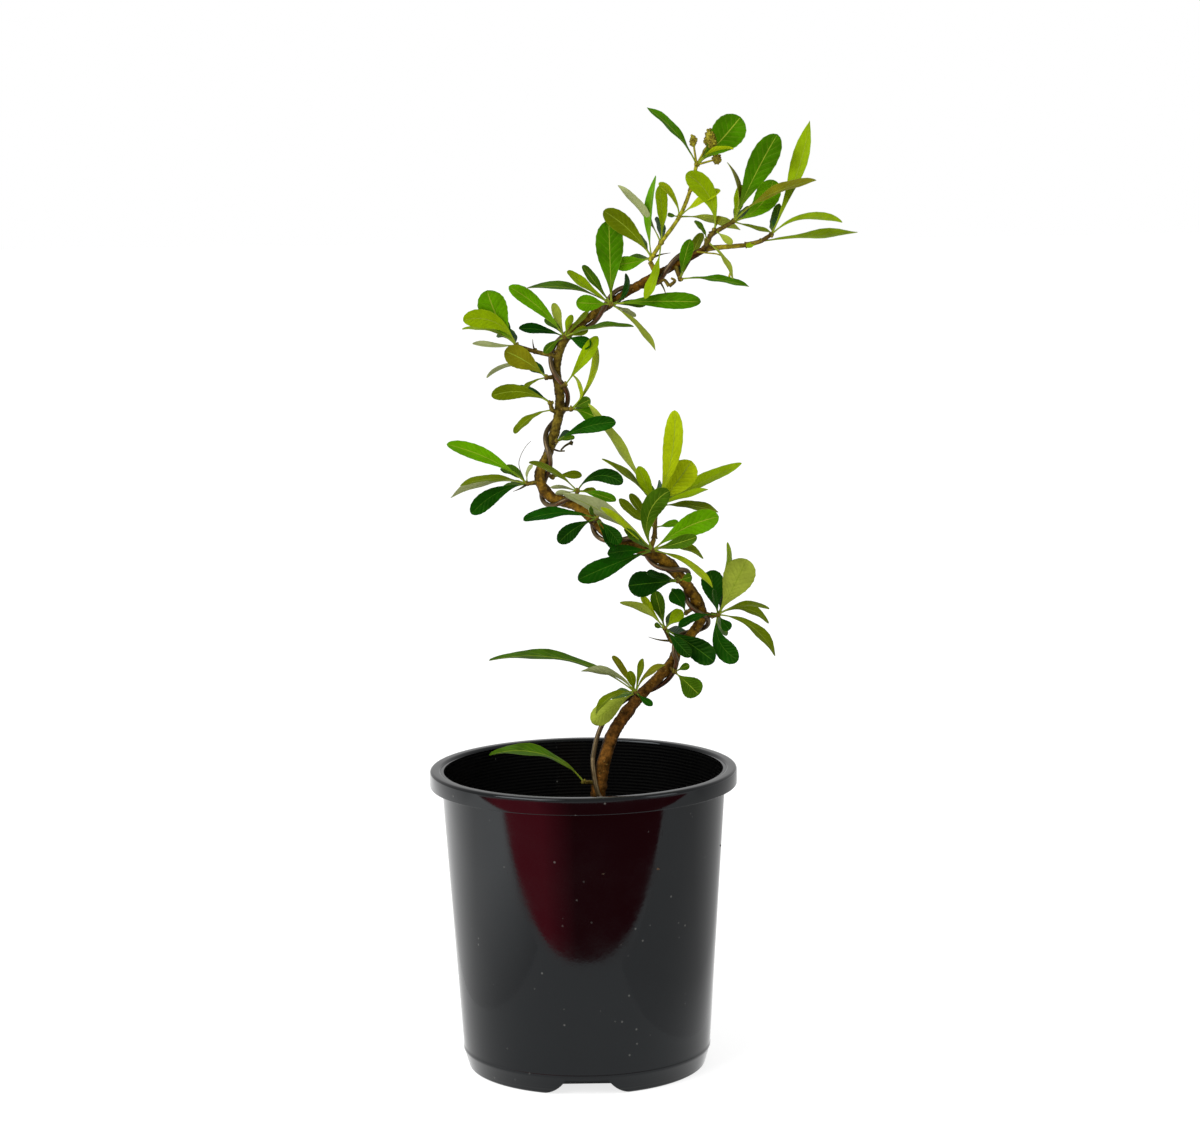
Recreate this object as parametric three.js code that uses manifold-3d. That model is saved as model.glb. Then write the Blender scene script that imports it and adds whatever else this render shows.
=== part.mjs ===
// A young Chinese firethorn in a round nursery pot. Its thin trunk is bent into loops by a coil of training
// wire, and its leaves stand in loose clusters on short spurs and two longer shoots.
// Millimetres. The origin is at the centre of the pot's underside, +Z is up and the pot's front faces -Y.

import * as THREE from "three";
import { mergeVertices } from "three/addons/utils/BufferGeometryUtils.js";
import Module from "manifold-3d";

const wasm = await Module();
wasm.setup();

// Driving dimensions

const CLEAR = 0.3; // gap between neighbouring solids
const SEAM = 0.08; // edges shorter than this along the seams of a mass are drawn together

const POT = {
  height: 166,
  rimRadius: 84,
  rimHeight: 9,
  lipWidth: 6,
  underRimRadius: 77.6,
  lowRadius: 68.1,
  lowHeight: 11,
  footRadius: 65.4,
  wall: 1.6,
  floor: 2,
  edge: 1.5,
  sides: 40,
};

const NOTCH = { count: 3, footWidth: 48, roofWidth: 23, height: 8.5, inner: 44, roof: 2 };

const SOIL_TOP = 126;

// Each point of a limb is its place and its radius there.
const TRUNK = [
  [7, 0, SOIL_TOP + CLEAR, 7],
  [7.4, 0, 134, 4.9],
  [8.2, 0, 153, 4],
  [12.5, 1, 172.5, 3.6],
  [18.5, 3, 187, 3.5],
  [29.5, 5, 201.5, 3.2],
  [39.5, 7, 211.5, 2.8],
  [49.5, 8, 222, 3.1],
  [52.5, 8, 228.5, 2.7],
  [63, 7, 241.5, 2.8],
  [65.5, 4, 250.5, 2.9],
  [59, -3, 264, 3],
  [48, -9, 278.5, 3.3],
  [37.5, -13, 285.5, 2.9],
  [17, -18, 295, 2.8],
  [0, -15, 311, 2.9],
  [-16, -9, 316.5, 2.9],
  [-21.5, -2, 327, 2.8],
  [-16, 4, 340, 2.6],
  [-10, 10, 364, 2.6],
  [-11.5, 13, 385, 2.4],
  [-5, 13, 402, 2.3],
  [12.5, 10, 415, 2.2],
  [37, 6, 430.5, 2.2],
  [53, 3, 439, 2],
  [69.5, 0, 448, 1.6],
];
const TRUNK_STEPS = 56;
const TRUNK_SIDES = 10;

// The wire's turns: how far along the trunk, in millimetres, and how many turns it has made there. A whole
// number of turns is at the front, a quarter more is at the left, seen along the trunk's way up.
const WIRE = {
  radius: 1.35,
  sides: 6,
  steps: 98,
  turns: [
    [2, -0.5],
    [25, 0],
    [43, 0.22],
    [64, 0.27],
    [81, 0.42],
    [97, 0.7],
    [114, 1],
    [145, 2],
    [178, 3],
    [214, 4],
    [249, 5],
    [285, 6],
    [328, 7],
    [378, 8],
    [418, 9],
    [433, 9.35],
  ],
  looseFrom: 34,
  looseTo: 90,
  loose: 2.5,
};

const BOUGH_FLARE = 0.2; // how much thicker a bough is at the trunk
const BOUGHS = {
  "bough_centre": [[40, -12, 293, 1.3]],
  "bough_right_spur": [[71, 2, 248.5, 1.3]],
  "bough_flower_shoot": [[39.5, 4, 441, 1.3]],
  "bough_upright_shoot": [[72, 4, 455, 1.3]],
  "bough_right_shoot": [[84, -1, 449, 1.3], [90.5, -1, 449.5, 1.2]],
};

// Each cluster stands on a short stem, from a bough's tip or from the trunk, along its path. A row is one leaf that
// shows from the front: its bearing from +X towards +Z, how far it bends on its way, both in degrees, its length and
// width as seen from the front, how far it leans back in degrees, its tone, and the point of the path that it grows
// from where that isn't the last. The far leaves are drawn by the rule in growFarLeaves.
const CLUSTERS = {
  "leaf_over_rim": {
    "path": [[0, -5, 158.5]],
    "leaves": [
      [163, 76, 54, 6, -5, "bright"],
    ],
    "far": 0,
  },
  "leaves_low_left": {
    "path": [[29, -3.4, 207.4]],
    "leaves": [
      [168, 58, 82, 5.2, 4, "olive"],
      [155, 60, 33, 4.5, -20, "under"],
      [123, 12, 23, 4, 15, "olive"],
      [104, 0, 13.6, 5, -26, "dark"],
      [77, 0, 19, 3.5, 5, "dark"],
      [43, -50, 23, 3.5, -12, "dark"],
      [206, 92, 24, 4.3, -25, "olive"],
      [213, 10, 28.5, 11, -12, "under"],
      [325, 0, 11, 4, -30, "dark"],
    ],
    "far": 2,
  },
  "leaves_low_right": {
    "path": [[50.5, 2.5, 217.5]],
    "leaves": [
      [317, -5, 18, 12, -10, "olive"],
      [25, 0, 9, 4, 0, "olive"],
    ],
    "far": 1,
  },
  "leaves_yellow_spur": {
    "path": [[49, 4, 234.5], [45.5, 1, 241.5]],
    "leaves": [
      [124, -15, 22, 4, 20, "lime"],
      [50, 0, 14.5, 7, -20, "lime"],
      [152, 0, 6.5, 3, -20, "dark"],
      [147.5, 45, 29.5, 4.5, -15, "under"],
      [105, 0, 20, 7.5, 30, "dark"],
      [328, -8, 31, 12.5, -22, "dark"],
      [316, 0, 19, 7, -35, "dark"],
      [168, 0, 13, 1.6, -10, "thorn", 0],
    ],
    "far": 3,
  },
  "leaf_right_bend": {
    "path": [[57, -1, 250.5]],
    "leaves": [
      [122, 20, 15, 9, -10, "dark"],
    ],
    "far": 1,
  },
  "leaves_right_spur": {
    "bough": "bough_right_spur",
    "path": [[74.5, 1, 249]],
    "leaves": [
      [62, 8, 34, 17, 5, "under"],
      [82, 40, 39, 4, 15, "dark"],
      [99, 0, 22, 12.5, 41, "dark"],
      [101, 0, 15.5, 3, -30, "mid"],
      [7, -60, 28, 3, -15, "olive"],
      [-15, -85, 29, 5, 15, "dark"],
      [-37, -65, 38, 6, -10, "olive"],
      [192, 48, 22, 4.5, -35, "dark"],
      [307, 0, 10, 6, -20, "dark"],
      [296, 85, 26, 11, -18, "dark"],
    ],
    "far": 4,
  },
  "leaves_centre_shoot": {
    "bough": "bough_centre",
    "path": [[40.5, -11, 299], [41, -9, 310]],
    "leaves": [
      [79, 24, 54, 10.5, -8, "lime"],
      [53, 14, 32, 15, -12, "lime"],
      [25, -4, 52, 7, 10, "lime"],
      [20, -15, 30, 3.5, -20, "dark"],
      [123, 10, 66, 5, 8, "under"],
      [137, 35, 40, 3.5, -15, "dark"],
      [112, 0, 25, 7, -20, "lime"],
      [-4, -30, 33.6, 5, -18, "olive"],
      [139, -15, 25.5, 5, -15, "olive", 0],
      [126, -15, 22, 5, 20, "olive", 0],
      [14, 0, 13, 4, -10, "mid", 0],
    ],
    "far": 4,
  },
  "leaves_centre_front": {
    "path": [[39, -21, 288]],
    "leaves": [
      [73, -88, 34.5, 11.5, -12, "dark"],
      [27, -30, 40, 12.5, -8, "bright"],
      [20, 0, 25, 7, -25, "dark"],
      [-8, -74, 27, 4, -25, "olive"],
      [-32, -45, 37, 4, -15, "lime"],
      [146, 27, 58, 8, -10, "under"],
      [137, 10, 38, 4, -25, "dark"],
      [139, 0, 20.5, 4.2, -35, "lime"],
      [181, 10, 24.5, 7.5, -20, "dark"],
      [200, 6, 43, 11, -8, "dark"],
    ],
    "far": 0,
  },
  "leaves_right_arch": {
    "path": [[52.5, -13, 270]],
    "leaves": [
      [183, 0, 27, 14, -12, "dark"],
      [160, 0, 18, 4, -30, "olive"],
      [20, 0, 8, 5, -20, "olive"],
    ],
    "far": 2,
  },
  "leaves_under_bend": {
    "path": [[9, -25, 306]],
    "leaves": [
      [180, 42, 39, 6.3, -10, "dark"],
      [211, 32, 23.5, 8.8, -18, "dark"],
      [312, -20, 18, 7.5, -15, "dark"],
      [300, 10, 19, 4, -2, "olive"],
      [120, 0, 8, 3, -30, "olive"],
    ],
    "far": 0,
  },
  "leaves_mid_spur": {
    "path": [[-1, -17, 320]],
    "leaves": [
      [146.6, 32, 31, 3.5, -22, "olive"],
      [8.3, -105, 24.8, 8, -15, "dark"],
      [347, -25, 21, 5, -25, "bright"],
      [0, 0, 10, 3, 20, "dark"],
      [167, 20, 14.8, 2.5, -35, "under"],
      [188, 0, 12, 3, 15, "under"],
    ],
    "far": 0,
  },
  "leaf_low_bend": {
    "path": [[-14.5, 3, 325.3]],
    "leaves": [
      [1, -25, 16, 4.5, 5, "dark"],
    ],
    "far": 0,
  },
  "leaves_left_spur": {
    "path": [[-28, -6, 323]],
    "leaves": [
      [154, 28, 48.5, 8.2, 6, "bright"],
      [179, 46, 36, 4, -20, "olive"],
      [192, 50, 43, 4.5, 12, "under"],
      [207.7, 42, 34, 9.5, -10, "dark"],
      [70, -60, 10.4, 2.2, 20, "dark"],
      [205, 0, 8.5, 1.8, -25, "thorn"],
    ],
    "far": 4,
  },
  "leaves_neck_low_left": {
    "path": [[-14.2, 7, 361.5], [-15, 6, 365.3]],
    "leaves": [
      [172.7, 55, 32.2, 8.5, -10, "olive"],
      [211, 50, 23.6, 4.5, -20, "olive", 0],
    ],
    "far": 2,
  },
  "leaves_neck_high_left": {
    "path": [[-17, 8, 379]],
    "leaves": [
      [218, 61, 18, 2.8, -4, "olive"],
      [147, 25, 27, 12, -5, "bronze"],
      [183, 95, 33, 2.3, 15, "under"],
    ],
    "far": 2,
  },
  "leaves_neck_right": {
    "path": [[-4, 5, 362]],
    "leaves": [
      [69.7, 55, 38.5, 4.2, 10, "lime"],
      [90, 110, 19.4, 2.3, -15, "dark"],
      [28, 0, 12, 6, -20, "mid"],
      [339, -25, 15, 8.5, -12, "mid"],
    ],
    "far": 3,
  },
  "leaf_neck_right": {
    "path": [[-7, 6, 375]],
    "leaves": [
      [56, 5, 32, 7.2, -5, "bright"],
    ],
    "far": 0,
  },
  "leaves_neck_front": {
    "path": [[-12, -3, 345.5]],
    "leaves": [
      [18, -35, 34, 8.5, -16, "dark"],
      [12, 0, 10, 3, 15, "mid"],
    ],
    "far": 1,
  },
  "leaves_upper_left": {
    "path": [[-23, 10, 393], [-33, 8, 396.5]],
    "leaves": [
      [116, -28, 34, 15.5, -5, "mid"],
      [154.6, 85, 32, 10, -12, "olive"],
      [165, 60, 31, 2.8, 15, "lime"],
      [174, -5, 23.6, 3.5, -25, "olive"],
      [100, 0, 7, 1.4, -10, "thorn", 0],
    ],
    "far": 4,
  },
  "leaves_elbow": {
    "path": [[-7, 6.5, 401]],
    "leaves": [
      [137, 28, 40.7, 8.3, -8, "bright"],
      [168, 31, 25, 5.5, -20, "dark"],
      [108, 0, 19, 5, 15, "under"],
      [72, 0, 13, 4, -20, "under"],
      [21, 0, 13.8, 5, -30, "lime"],
      [9, -38, 38, 2.8, -25, "dark"],
      [340, -20, 15, 7, -15, "dark"],
      [219, 30, 13.7, 4.5, -20, "olive"],
      [46, 0, 20, 3, 7, "dark"],
    ],
    "far": 1,
  },
  "leaves_upper_arch": {
    "path": [[18.5, 3.5, 418.5]],
    "leaves": [
      [91, 0, 45, 15, 0, "bright"],
      [1.4, -12, 48, 9, -12, "mid"],
      [175, 0, 19, 9, -20, "bright"],
      [126, 0, 26, 5, 4, "dark"],
      [142, 0, 30, 5, -15, "olive"],
      [169, 45, 47, 4, 2, "dark"],
      [68, 90, 19, 3.5, -22, "dark"],
      [-47, -30, 34, 3.5, -15, "olive"],
      [333, 0, 15, 3, 15, "dark"],
    ],
    "far": 3,
  },
  "leaves_flower_shoot": {
    "bough": "bough_flower_shoot",
    "path": [[40.5, 4, 443], [45.5, 3, 451], [55.5, 2, 465], [61.5, 2, 479], [65, 2, 492.5]],
    "leaves": [
      [135.4, 28, 36.4, 10.5, -8, "olive", 0],
      [190, -10, 20, 8, 10, "olive", 0],
      [86, -27, 44, 4.6, 12, "mid", 0],
      [15, 0, 10.5, 1.6, -10, "thorn", 0],
      [127, 30, 38.3, 4.6, 15, "under", 1],
      [92, 18, 31, 6.5, -15, "olive", 1],
      [252.6, -22, 30.5, 5.2, -20, "lime", 1],
      [123, 55, 21.4, 4, -15, "lime", 2],
      [32, -22, 26, 4.5, -20, "bright", 2],
      [-14, -30, 34, 5, 10, "under", 2],
      [170, 0, 6.5, 2.5, -10, "dark", 2],
      [131, 34, 40.5, 5, 8, "mid"],
      [47, 8, 34.5, 17.5, -5, "dark"],
      [21, -65, 21.5, 3, -15, "under"],
    ],
    "far": 4,
    "buds": [[63.2, 1, 505.2, 4.5, 7], [72.6, 1, 505.7, 7.6, 11.7], [75.8, 1, 495.4, 5.4, 6.3]],
  },
  "leaves_trunk_top": {
    "path": [[55.5, -3, 432]],
    "leaves": [
      [76, -8, 22.5, 6.8, -25, "dark"],
      [62, 0, 26.5, 6, 42, "bright"],
      [-7, -28, 37, 4, -12, "mid"],
    ],
    "far": 2,
  },
  "leaves_trunk_tip": {
    "path": [[70, -5, 452], [74, -6, 458]],
    "leaves": [
      [118, 71, 34, 11, -5, "olive"],
      [70, 0, 8, 3, 10, "mid"],
      [-38, 0, 12, 4, -10, "under"],
      [125, 50, 13, 3, -20, "dark", 0],
      [-57, -40, 24, 3, -15, "olive", 0],
    ],
    "far": 0,
  },
  "leaves_upright_shoot": {
    "bough": "bough_upright_shoot",
    "path": [[84.5, 3, 462]],
    "leaves": [
      [62.8, -6, 52, 14.5, -4, "mid"],
      [46, 60, 31, 13, 12, "dark"],
      [26, -40, 49, 5, -15, "olive"],
      [97, 66, 32, 2.3, 2, "bronze"],
      [76, 0, 20, 5, 14, "bright"],
      [-16, 0, 20.5, 2.5, -20, "dark"],
    ],
    "far": 4,
  },
  "leaves_right_shoot": {
    "bough": "bough_right_shoot",
    "path": [[98.5, -2, 451.5], [104.5, -2, 455]],
    "leaves": [
      [70.2, 14, 64, 8, 13, "lime"],
      [8.6, -70, 38, 4.3, -15, "lime"],
      [4, -6, 53.4, 4.5, 10, "olive", 0],
      [200, 0, 8, 3, -15, "olive", 0],
    ],
    "far": 4,
  },
};

const STEM = { foot: 1.3, tip: 1.1, sides: 5, knuckle: 2.3 };
const LEAF = {
  shares: [0, 0.25, 0.72, 1],
  widths: [0.08, 0.42, 1, 0],
  footThickness: 1,
  footStart: 1.3,
  thickness: 0.7,
  thicknessShare: 1 / 80,
  slimmest: 3,
  broadens: 0.2,
  broadest: 15,
  fold: 14,
};
const THORN = { tip: 0.2, sides: 5 };
const BUD = { ball: 0.55, stalkFoot: 0.7, stalkTip: 0.6 };
// Far leaves: the width of leaf that hides one, their length, how far they lean back, how far apart in bearing,
// how much of the leaf in front they cover, their own width, and the most that they bend with that leaf.
const FAR = {
  hiddenBy: 6.5,
  shortest: 20,
  longest: 34,
  leanFrom: 42,
  leanTo: 70,
  spread: 12,
  shareOfFront: 0.8,
  narrow: 3,
  wide: 6,
  mostBend: 60,
};
const TURNS_TRIED = [0, 8, -8, 16, -16, 24, -24, 32, -32];
const SEED = 4711;

const COLOURS = {
  pot: 0x0c0c0d,
  soil: 0x2e2219,
  bark: 0x6b4a34,
  wire: 0x4a3020,
  shoot: 0x7a7a2a,
  leaf: 0x2f5a14,
};

// Small tools

const radians = THREE.MathUtils.degToRad;
const vector = (p) => new THREE.Vector3(p[0], p[1], p[2]);

// A repeatable draw between 0 and 1, by the same few whole-number steps in any language.
function seeded(seed) {
  let state = seed;
  return () => {
    state = (state * 16807) % 2147483647;
    return state / 2147483647;
  };
}

function solidOf(geometry) {
  const bare = geometry.clone();
  bare.deleteAttribute("normal");
  bare.deleteAttribute("uv");
  const merged = mergeVertices(bare, 1e-4);
  const mesh = new wasm.Mesh({
    numProp: 3,
    vertProperties: merged.attributes.position.array,
    triVerts: new Uint32Array(merged.index.array),
  });
  return new wasm.Manifold(mesh);
}

function geometryOf(solid) {
  const mesh = solid.getMesh();
  const geometry = new THREE.BufferGeometry();
  geometry.setAttribute("position", new THREE.BufferAttribute(mesh.vertProperties, 3));
  geometry.setIndex(new THREE.BufferAttribute(mesh.triVerts, 1));
  return geometry;
}

// The largest of a solid's bodies: a scrap that a cut leaves loose is dropped.
function largest(solid) {
  return solid.decompose().reduce((a, b) => (a.volume() > b.volume() ? a : b));
}

// A closed skin over rings of equal count, from the first ring to the last, or to a single point.
function skin(rings) {
  const points = rings.flat();
  const starts = [];
  let count = 0;
  for (const ring of rings) {
    starts.push(count);
    count += ring.length;
  }
  const faces = [];
  const n = rings[0].length;
  for (let i = 1; i < n - 1; i++) faces.push(0, i + 1, i);
  for (let k = 0; k < rings.length - 1; k++) {
    const a = starts[k];
    const b = starts[k + 1];
    for (let i = 0; i < n; i++) {
      const j = (i + 1) % n;
      if (rings[k + 1].length === 1) {
        faces.push(a + i, a + j, b);
      } else {
        faces.push(a + i, a + j, b + j, a + i, b + j, b + i);
      }
    }
  }
  if (rings.at(-1).length > 1) {
    const last = starts.at(-1);
    for (let i = 1; i < n - 1; i++) faces.push(last, last + i, last + i + 1);
  }
  const geometry = new THREE.BufferGeometry();
  geometry.setAttribute("position", new THREE.Float32BufferAttribute(points.flatMap((p) => p.toArray()), 3));
  geometry.setIndex(faces);
  return geometry;
}

// Limbs

function curveThrough(points) {
  return new THREE.CatmullRomCurve3(points.map(vector), false, "catmullrom", 0.5);
}

// A limb's radius, read between the points of its path.
function radiusAt(points, share) {
  const place = share * (points.length - 1);
  const i = Math.min(Math.floor(place), points.length - 2);
  return THREE.MathUtils.lerp(points[i][3], points[i + 1][3], place - i);
}

function limb(points, steps, sides, grow = 0) {
  const curve = curveThrough(points);
  const frames = curve.computeFrenetFrames(steps, false);
  const rings = [];
  for (let k = 0; k <= steps; k++) {
    const share = curve.getUtoTmapping(k / steps);
    const centre = curve.getPoint(share);
    const radius = radiusAt(points, share) + grow;
    const ring = [];
    for (let i = 0; i < sides; i++) {
      const angle = (2 * Math.PI * i) / sides;
      const out = frames.normals[k].clone().multiplyScalar(Math.cos(angle) * radius);
      out.addScaledVector(frames.binormals[k], Math.sin(angle) * radius);
      ring.push(out.add(centre));
    }
    rings.push(ring);
  }
  return skin(rings);
}

// The trunk's foot is flattened to one level at the soil.
function makeTrunk() {
  const level = TRUNK[0][2];
  const geometry = limb(TRUNK, TRUNK_STEPS, TRUNK_SIDES);
  const place = geometry.attributes.position;
  for (let i = 0; i < TRUNK_SIDES; i++) place.setZ(i, level);
  return geometry;
}

function nearestOnTrunk(point) {
  const curve = curveThrough(TRUNK);
  let best = null;
  for (const p of curve.getSpacedPoints(400)) {
    if (!best || p.distanceTo(point) < best.distanceTo(point)) best = p;
  }
  return best;
}

class WireCurve extends THREE.Curve {
  constructor() {
    super();
    this.trunk = curveThrough(TRUNK);
    this.trunk.arcLengthDivisions = 800;
    this.from = WIRE.turns[0][0];
    this.to = WIRE.turns.at(-1)[0];
  }

  turnsAt(along) {
    const next = Math.max(1, WIRE.turns.findIndex(([reach]) => reach >= along));
    const [a, from] = WIRE.turns[next - 1];
    const [b, to] = WIRE.turns[next];
    return THREE.MathUtils.lerp(from, to, (along - a) / (b - a));
  }

  getPoint(t, target = new THREE.Vector3()) {
    const along = Math.min(THREE.MathUtils.lerp(this.from, this.to, t), this.to - 1e-6);
    const share = this.trunk.getUtoTmapping(along / this.trunk.getLength());
    const centre = this.trunk.getPoint(share);
    const tangent = this.trunk.getTangent(share);
    const front = new THREE.Vector3(0, -1, 0).addScaledVector(tangent, tangent.y).normalize();
    const right = new THREE.Vector3().crossVectors(tangent, front);
    const inLoose = THREE.MathUtils.clamp((along - WIRE.looseFrom) / (WIRE.looseTo - WIRE.looseFrom), 0, 1);
    const loose = WIRE.loose * Math.sin(Math.PI * inLoose);
    const reach = radiusAt(TRUNK, share) + WIRE.radius + CLEAR * 1.5 + loose;
    const angle = 2 * Math.PI * this.turnsAt(along);
    return target
      .copy(centre)
      .addScaledVector(front, Math.cos(angle) * reach)
      .addScaledVector(right, -Math.sin(angle) * reach);
  }
}

function circle(radius, sides) {
  const shape = new THREE.Shape();
  for (let i = 0; i < sides; i++) {
    const angle = (2 * Math.PI * i) / sides;
    const point = [radius * Math.cos(angle), radius * Math.sin(angle)];
    if (i === 0) shape.moveTo(...point);
    else shape.lineTo(...point);
  }
  shape.closePath();
  return shape;
}

function makeWire(grow = 0) {
  return new THREE.ExtrudeGeometry(circle(WIRE.radius + grow, WIRE.sides), {
    steps: WIRE.steps,
    extrudePath: new WireCurve(),
  });
}

// Pot and soil

function lathe(profile) {
  const points = profile.map(([r, z]) => new THREE.Vector2(r, z));
  return new THREE.LatheGeometry(points, POT.sides).rotateX(Math.PI / 2);
}

// A quarter round from one corner of a profile, as a few points between two angles in degrees.
function arc(r, z, radius, from, to, steps = 3) {
  return Array.from({ length: steps + 1 }, (_, i) => {
    const angle = radians(THREE.MathUtils.lerp(from, to, i / steps));
    return [r + radius * Math.cos(angle), z + radius * Math.sin(angle)];
  });
}

// One drain notch's hollow, a trapezium run in from the pot's side. It faces -Y before it is turned.
function notchCutter(grow) {
  const shape = new THREE.Shape();
  const foot = NOTCH.footWidth / 2 + grow;
  const roof = NOTCH.roofWidth / 2 + grow;
  shape.moveTo(-foot - 1, -1);
  shape.lineTo(foot + 1, -1);
  shape.lineTo(foot, 0);
  shape.quadraticCurveTo(foot - 8, 1, roof, NOTCH.height + grow);
  shape.lineTo(-roof, NOTCH.height + grow);
  shape.quadraticCurveTo(-foot + 8, 1, -foot, 0);
  shape.closePath();
  const depth = POT.rimRadius - NOTCH.inner + grow;
  const geometry = new THREE.ExtrudeGeometry(shape, { depth, steps: 1, bevelEnabled: false, curveSegments: 4 });
  return geometry.rotateX(Math.PI / 2).translate(0, -NOTCH.inner + grow, 0);
}

function cutNotches(solid, grow) {
  for (let i = 0; i < NOTCH.count; i++) {
    const cutter = notchCutter(grow).rotateZ((2 * Math.PI * i) / NOTCH.count);
    solid = solid.subtract(solidOf(cutter));
  }
  return solid;
}

// The hollow of the pot up to a level, drawn in by a gap.
function hollow(top, gap) {
  const slope = (POT.underRimRadius - POT.lowRadius) / (POT.height - POT.rimHeight - POT.lowHeight);
  const wallAt = (z) => POT.lowRadius + (z - POT.lowHeight) * slope - POT.wall - gap;
  const low = POT.lowHeight + POT.edge;
  const floorRadius = POT.footRadius - POT.wall - gap;
  return lathe([
    [0, POT.floor + gap],
    [floorRadius - POT.edge, POT.floor + gap],
    [floorRadius, POT.floor + POT.edge + gap],
    [wallAt(low), low],
    [wallAt(top), top],
    [0, top],
  ]);
}

function makePot() {
  const { height, rimRadius, rimHeight, lipWidth, edge, underRimRadius, lowRadius, lowHeight, footRadius } = POT;
  const skirt = POT.wall;
  const rimFoot = height - rimHeight;
  const outside = lathe([
    [0, 0],
    ...arc(footRadius - edge, edge, edge, -90, -10, 2),
    [lowRadius - 0.3, lowHeight - 1.5],
    [lowRadius + 0.2, lowHeight],
    [lowRadius, lowHeight + 1],
    [underRimRadius, rimFoot + 2],
    [underRimRadius, height - 2.4],
    [rimRadius - skirt - edge, height - 2.4],
    [rimRadius - skirt, height - 3.9],
    [rimRadius - skirt, rimFoot],
    [rimRadius, rimFoot],
    ...arc(rimRadius - edge, height - edge, edge, 0, 90),
    ...arc(rimRadius - lipWidth + edge, height - edge, edge, 90, 150, 2),
    [0, height - edge - 0.2],
  ]);
  const inside = hollow(height + 1, 0);
  return cutNotches(solidOf(outside), 0).subtract(cutNotches(solidOf(inside), NOTCH.roof));
}

function makeSoil() {
  return cutNotches(solidOf(hollow(SOIL_TOP, CLEAR)), NOTCH.roof + CLEAR);
}

// Leaves

// A leaf's true width, and how far it is rolled out of the picture to look as narrow as it does.
function rollOf(length, width) {
  const broad = Math.max(width, Math.min(LEAF.broadest, LEAF.slimmest + LEAF.broadens * length));
  return { broad, roll: Math.acos(Math.min(1, width / broad)) };
}

// The blade is a run of flat diamonds, folded a little along its rib, and it ends in a point.
function leafGeometry(foot, row, lean, grow = 0) {
  const [bearing, bend, seen, width, , tone] = row;
  const tilt = radians(lean);
  const half = radians(bend) / 2;
  const arcShare = half === 0 ? 1 : half / Math.sin(half);
  const length = (seen / Math.cos(tilt)) * arcShare;
  const { broad, roll } = rollOf(length, width);
  const facing = tone === "under" ? -1 : 1;
  const up = Math.cos(radians(bearing)) < 0 ? -1 : 1;
  const back = new THREE.Vector3(0, 1, 0);
  const ahead = (at) => {
    const angle = radians(bearing) + (at - 0.5) * 2 * half;
    return new THREE.Vector3(Math.cos(angle), 0, Math.sin(angle));
  };
  const centre = foot.clone().addScaledVector(ahead(0), LEAF.footStart * Math.cos(tilt));
  centre.addScaledVector(back, LEAF.footStart * Math.sin(tilt));
  const rings = [];
  LEAF.shares.forEach((share, i) => {
    if (i > 0) {
      const last = LEAF.shares[i - 1];
      const step = ahead((last + share) / 2).multiplyScalar(Math.cos(tilt)).addScaledVector(back, Math.sin(tilt));
      centre.addScaledVector(step, (share - last) * (length - LEAF.footStart));
    }
    const way = ahead(share);
    const tangent = way.clone().multiplyScalar(Math.cos(tilt)).addScaledVector(back, Math.sin(tilt));
    const toFront = way.clone().multiplyScalar(Math.sin(tilt)).addScaledVector(back, -Math.cos(tilt));
    const upward = new THREE.Vector3(-way.z * up, 0, way.x * up);
    const normal = toFront.multiplyScalar(facing * Math.cos(roll)).addScaledVector(upward, Math.sin(roll));
    const across = new THREE.Vector3().crossVectors(normal, tangent);
    if (i === LEAF.shares.length - 1) {
      rings.push([centre.clone()]);
      return;
    }
    const halfWidth = (broad * LEAF.widths[i]) / 2 + grow;
    const thick = i < 1 ? LEAF.footThickness : Math.max(LEAF.thickness, length * LEAF.thicknessShare);
    const rise = halfWidth * Math.tan(radians(LEAF.fold));
    const corner = (side, height) =>
      centre.clone().addScaledVector(across, side).addScaledVector(normal, height);
    rings.push([
      corner(halfWidth, rise / 2),
      corner(0, thick / 2 + grow - rise / 2),
      corner(-halfWidth, rise / 2),
      corner(0, -thick / 2 - grow - rise / 2),
    ]);
  });
  return skin(rings);
}

function thornGeometry(foot, row, lean, grow = 0) {
  const [bearing, , length, width] = row;
  const along = new THREE.Vector3(Math.cos(radians(bearing)), Math.tan(radians(lean)), Math.sin(radians(bearing)));
  const tip = foot.clone().addScaledVector(along, length);
  const points = [
    [...foot.toArray(), width / 2 + grow],
    [...tip.toArray(), THORN.tip + grow],
  ];
  return limb(points, 1, THORN.sides);
}

// A far leaf stands behind one of the broad leaves in front and leans well away from the viewer.
function growFarLeaves(cluster, random) {
  const broad = cluster.leaves.filter((row) => row[3] >= FAR.hiddenBy);
  const rows = [];
  for (let i = 0; i < cluster.far; i++) {
    const front = broad.length > 0 ? broad[i % broad.length] : cluster.leaves[0];
    const bearing = front[0] + (random() - 0.5) * FAR.spread;
    const lean = THREE.MathUtils.lerp(FAR.leanFrom, FAR.leanTo, random());
    const length = THREE.MathUtils.lerp(FAR.shortest, FAR.longest, random());
    const seen = Math.min(length * Math.cos(radians(lean)), front[2] * FAR.shareOfFront);
    const width = THREE.MathUtils.lerp(FAR.narrow, FAR.wide, random());
    const bend = THREE.MathUtils.clamp(front[1], -FAR.mostBend, FAR.mostBend);
    rows.push([bearing, bend, seen, width, lean, random() < 0.5 ? "dark" : "mid", front[6]]);
  }
  return rows;
}

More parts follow.
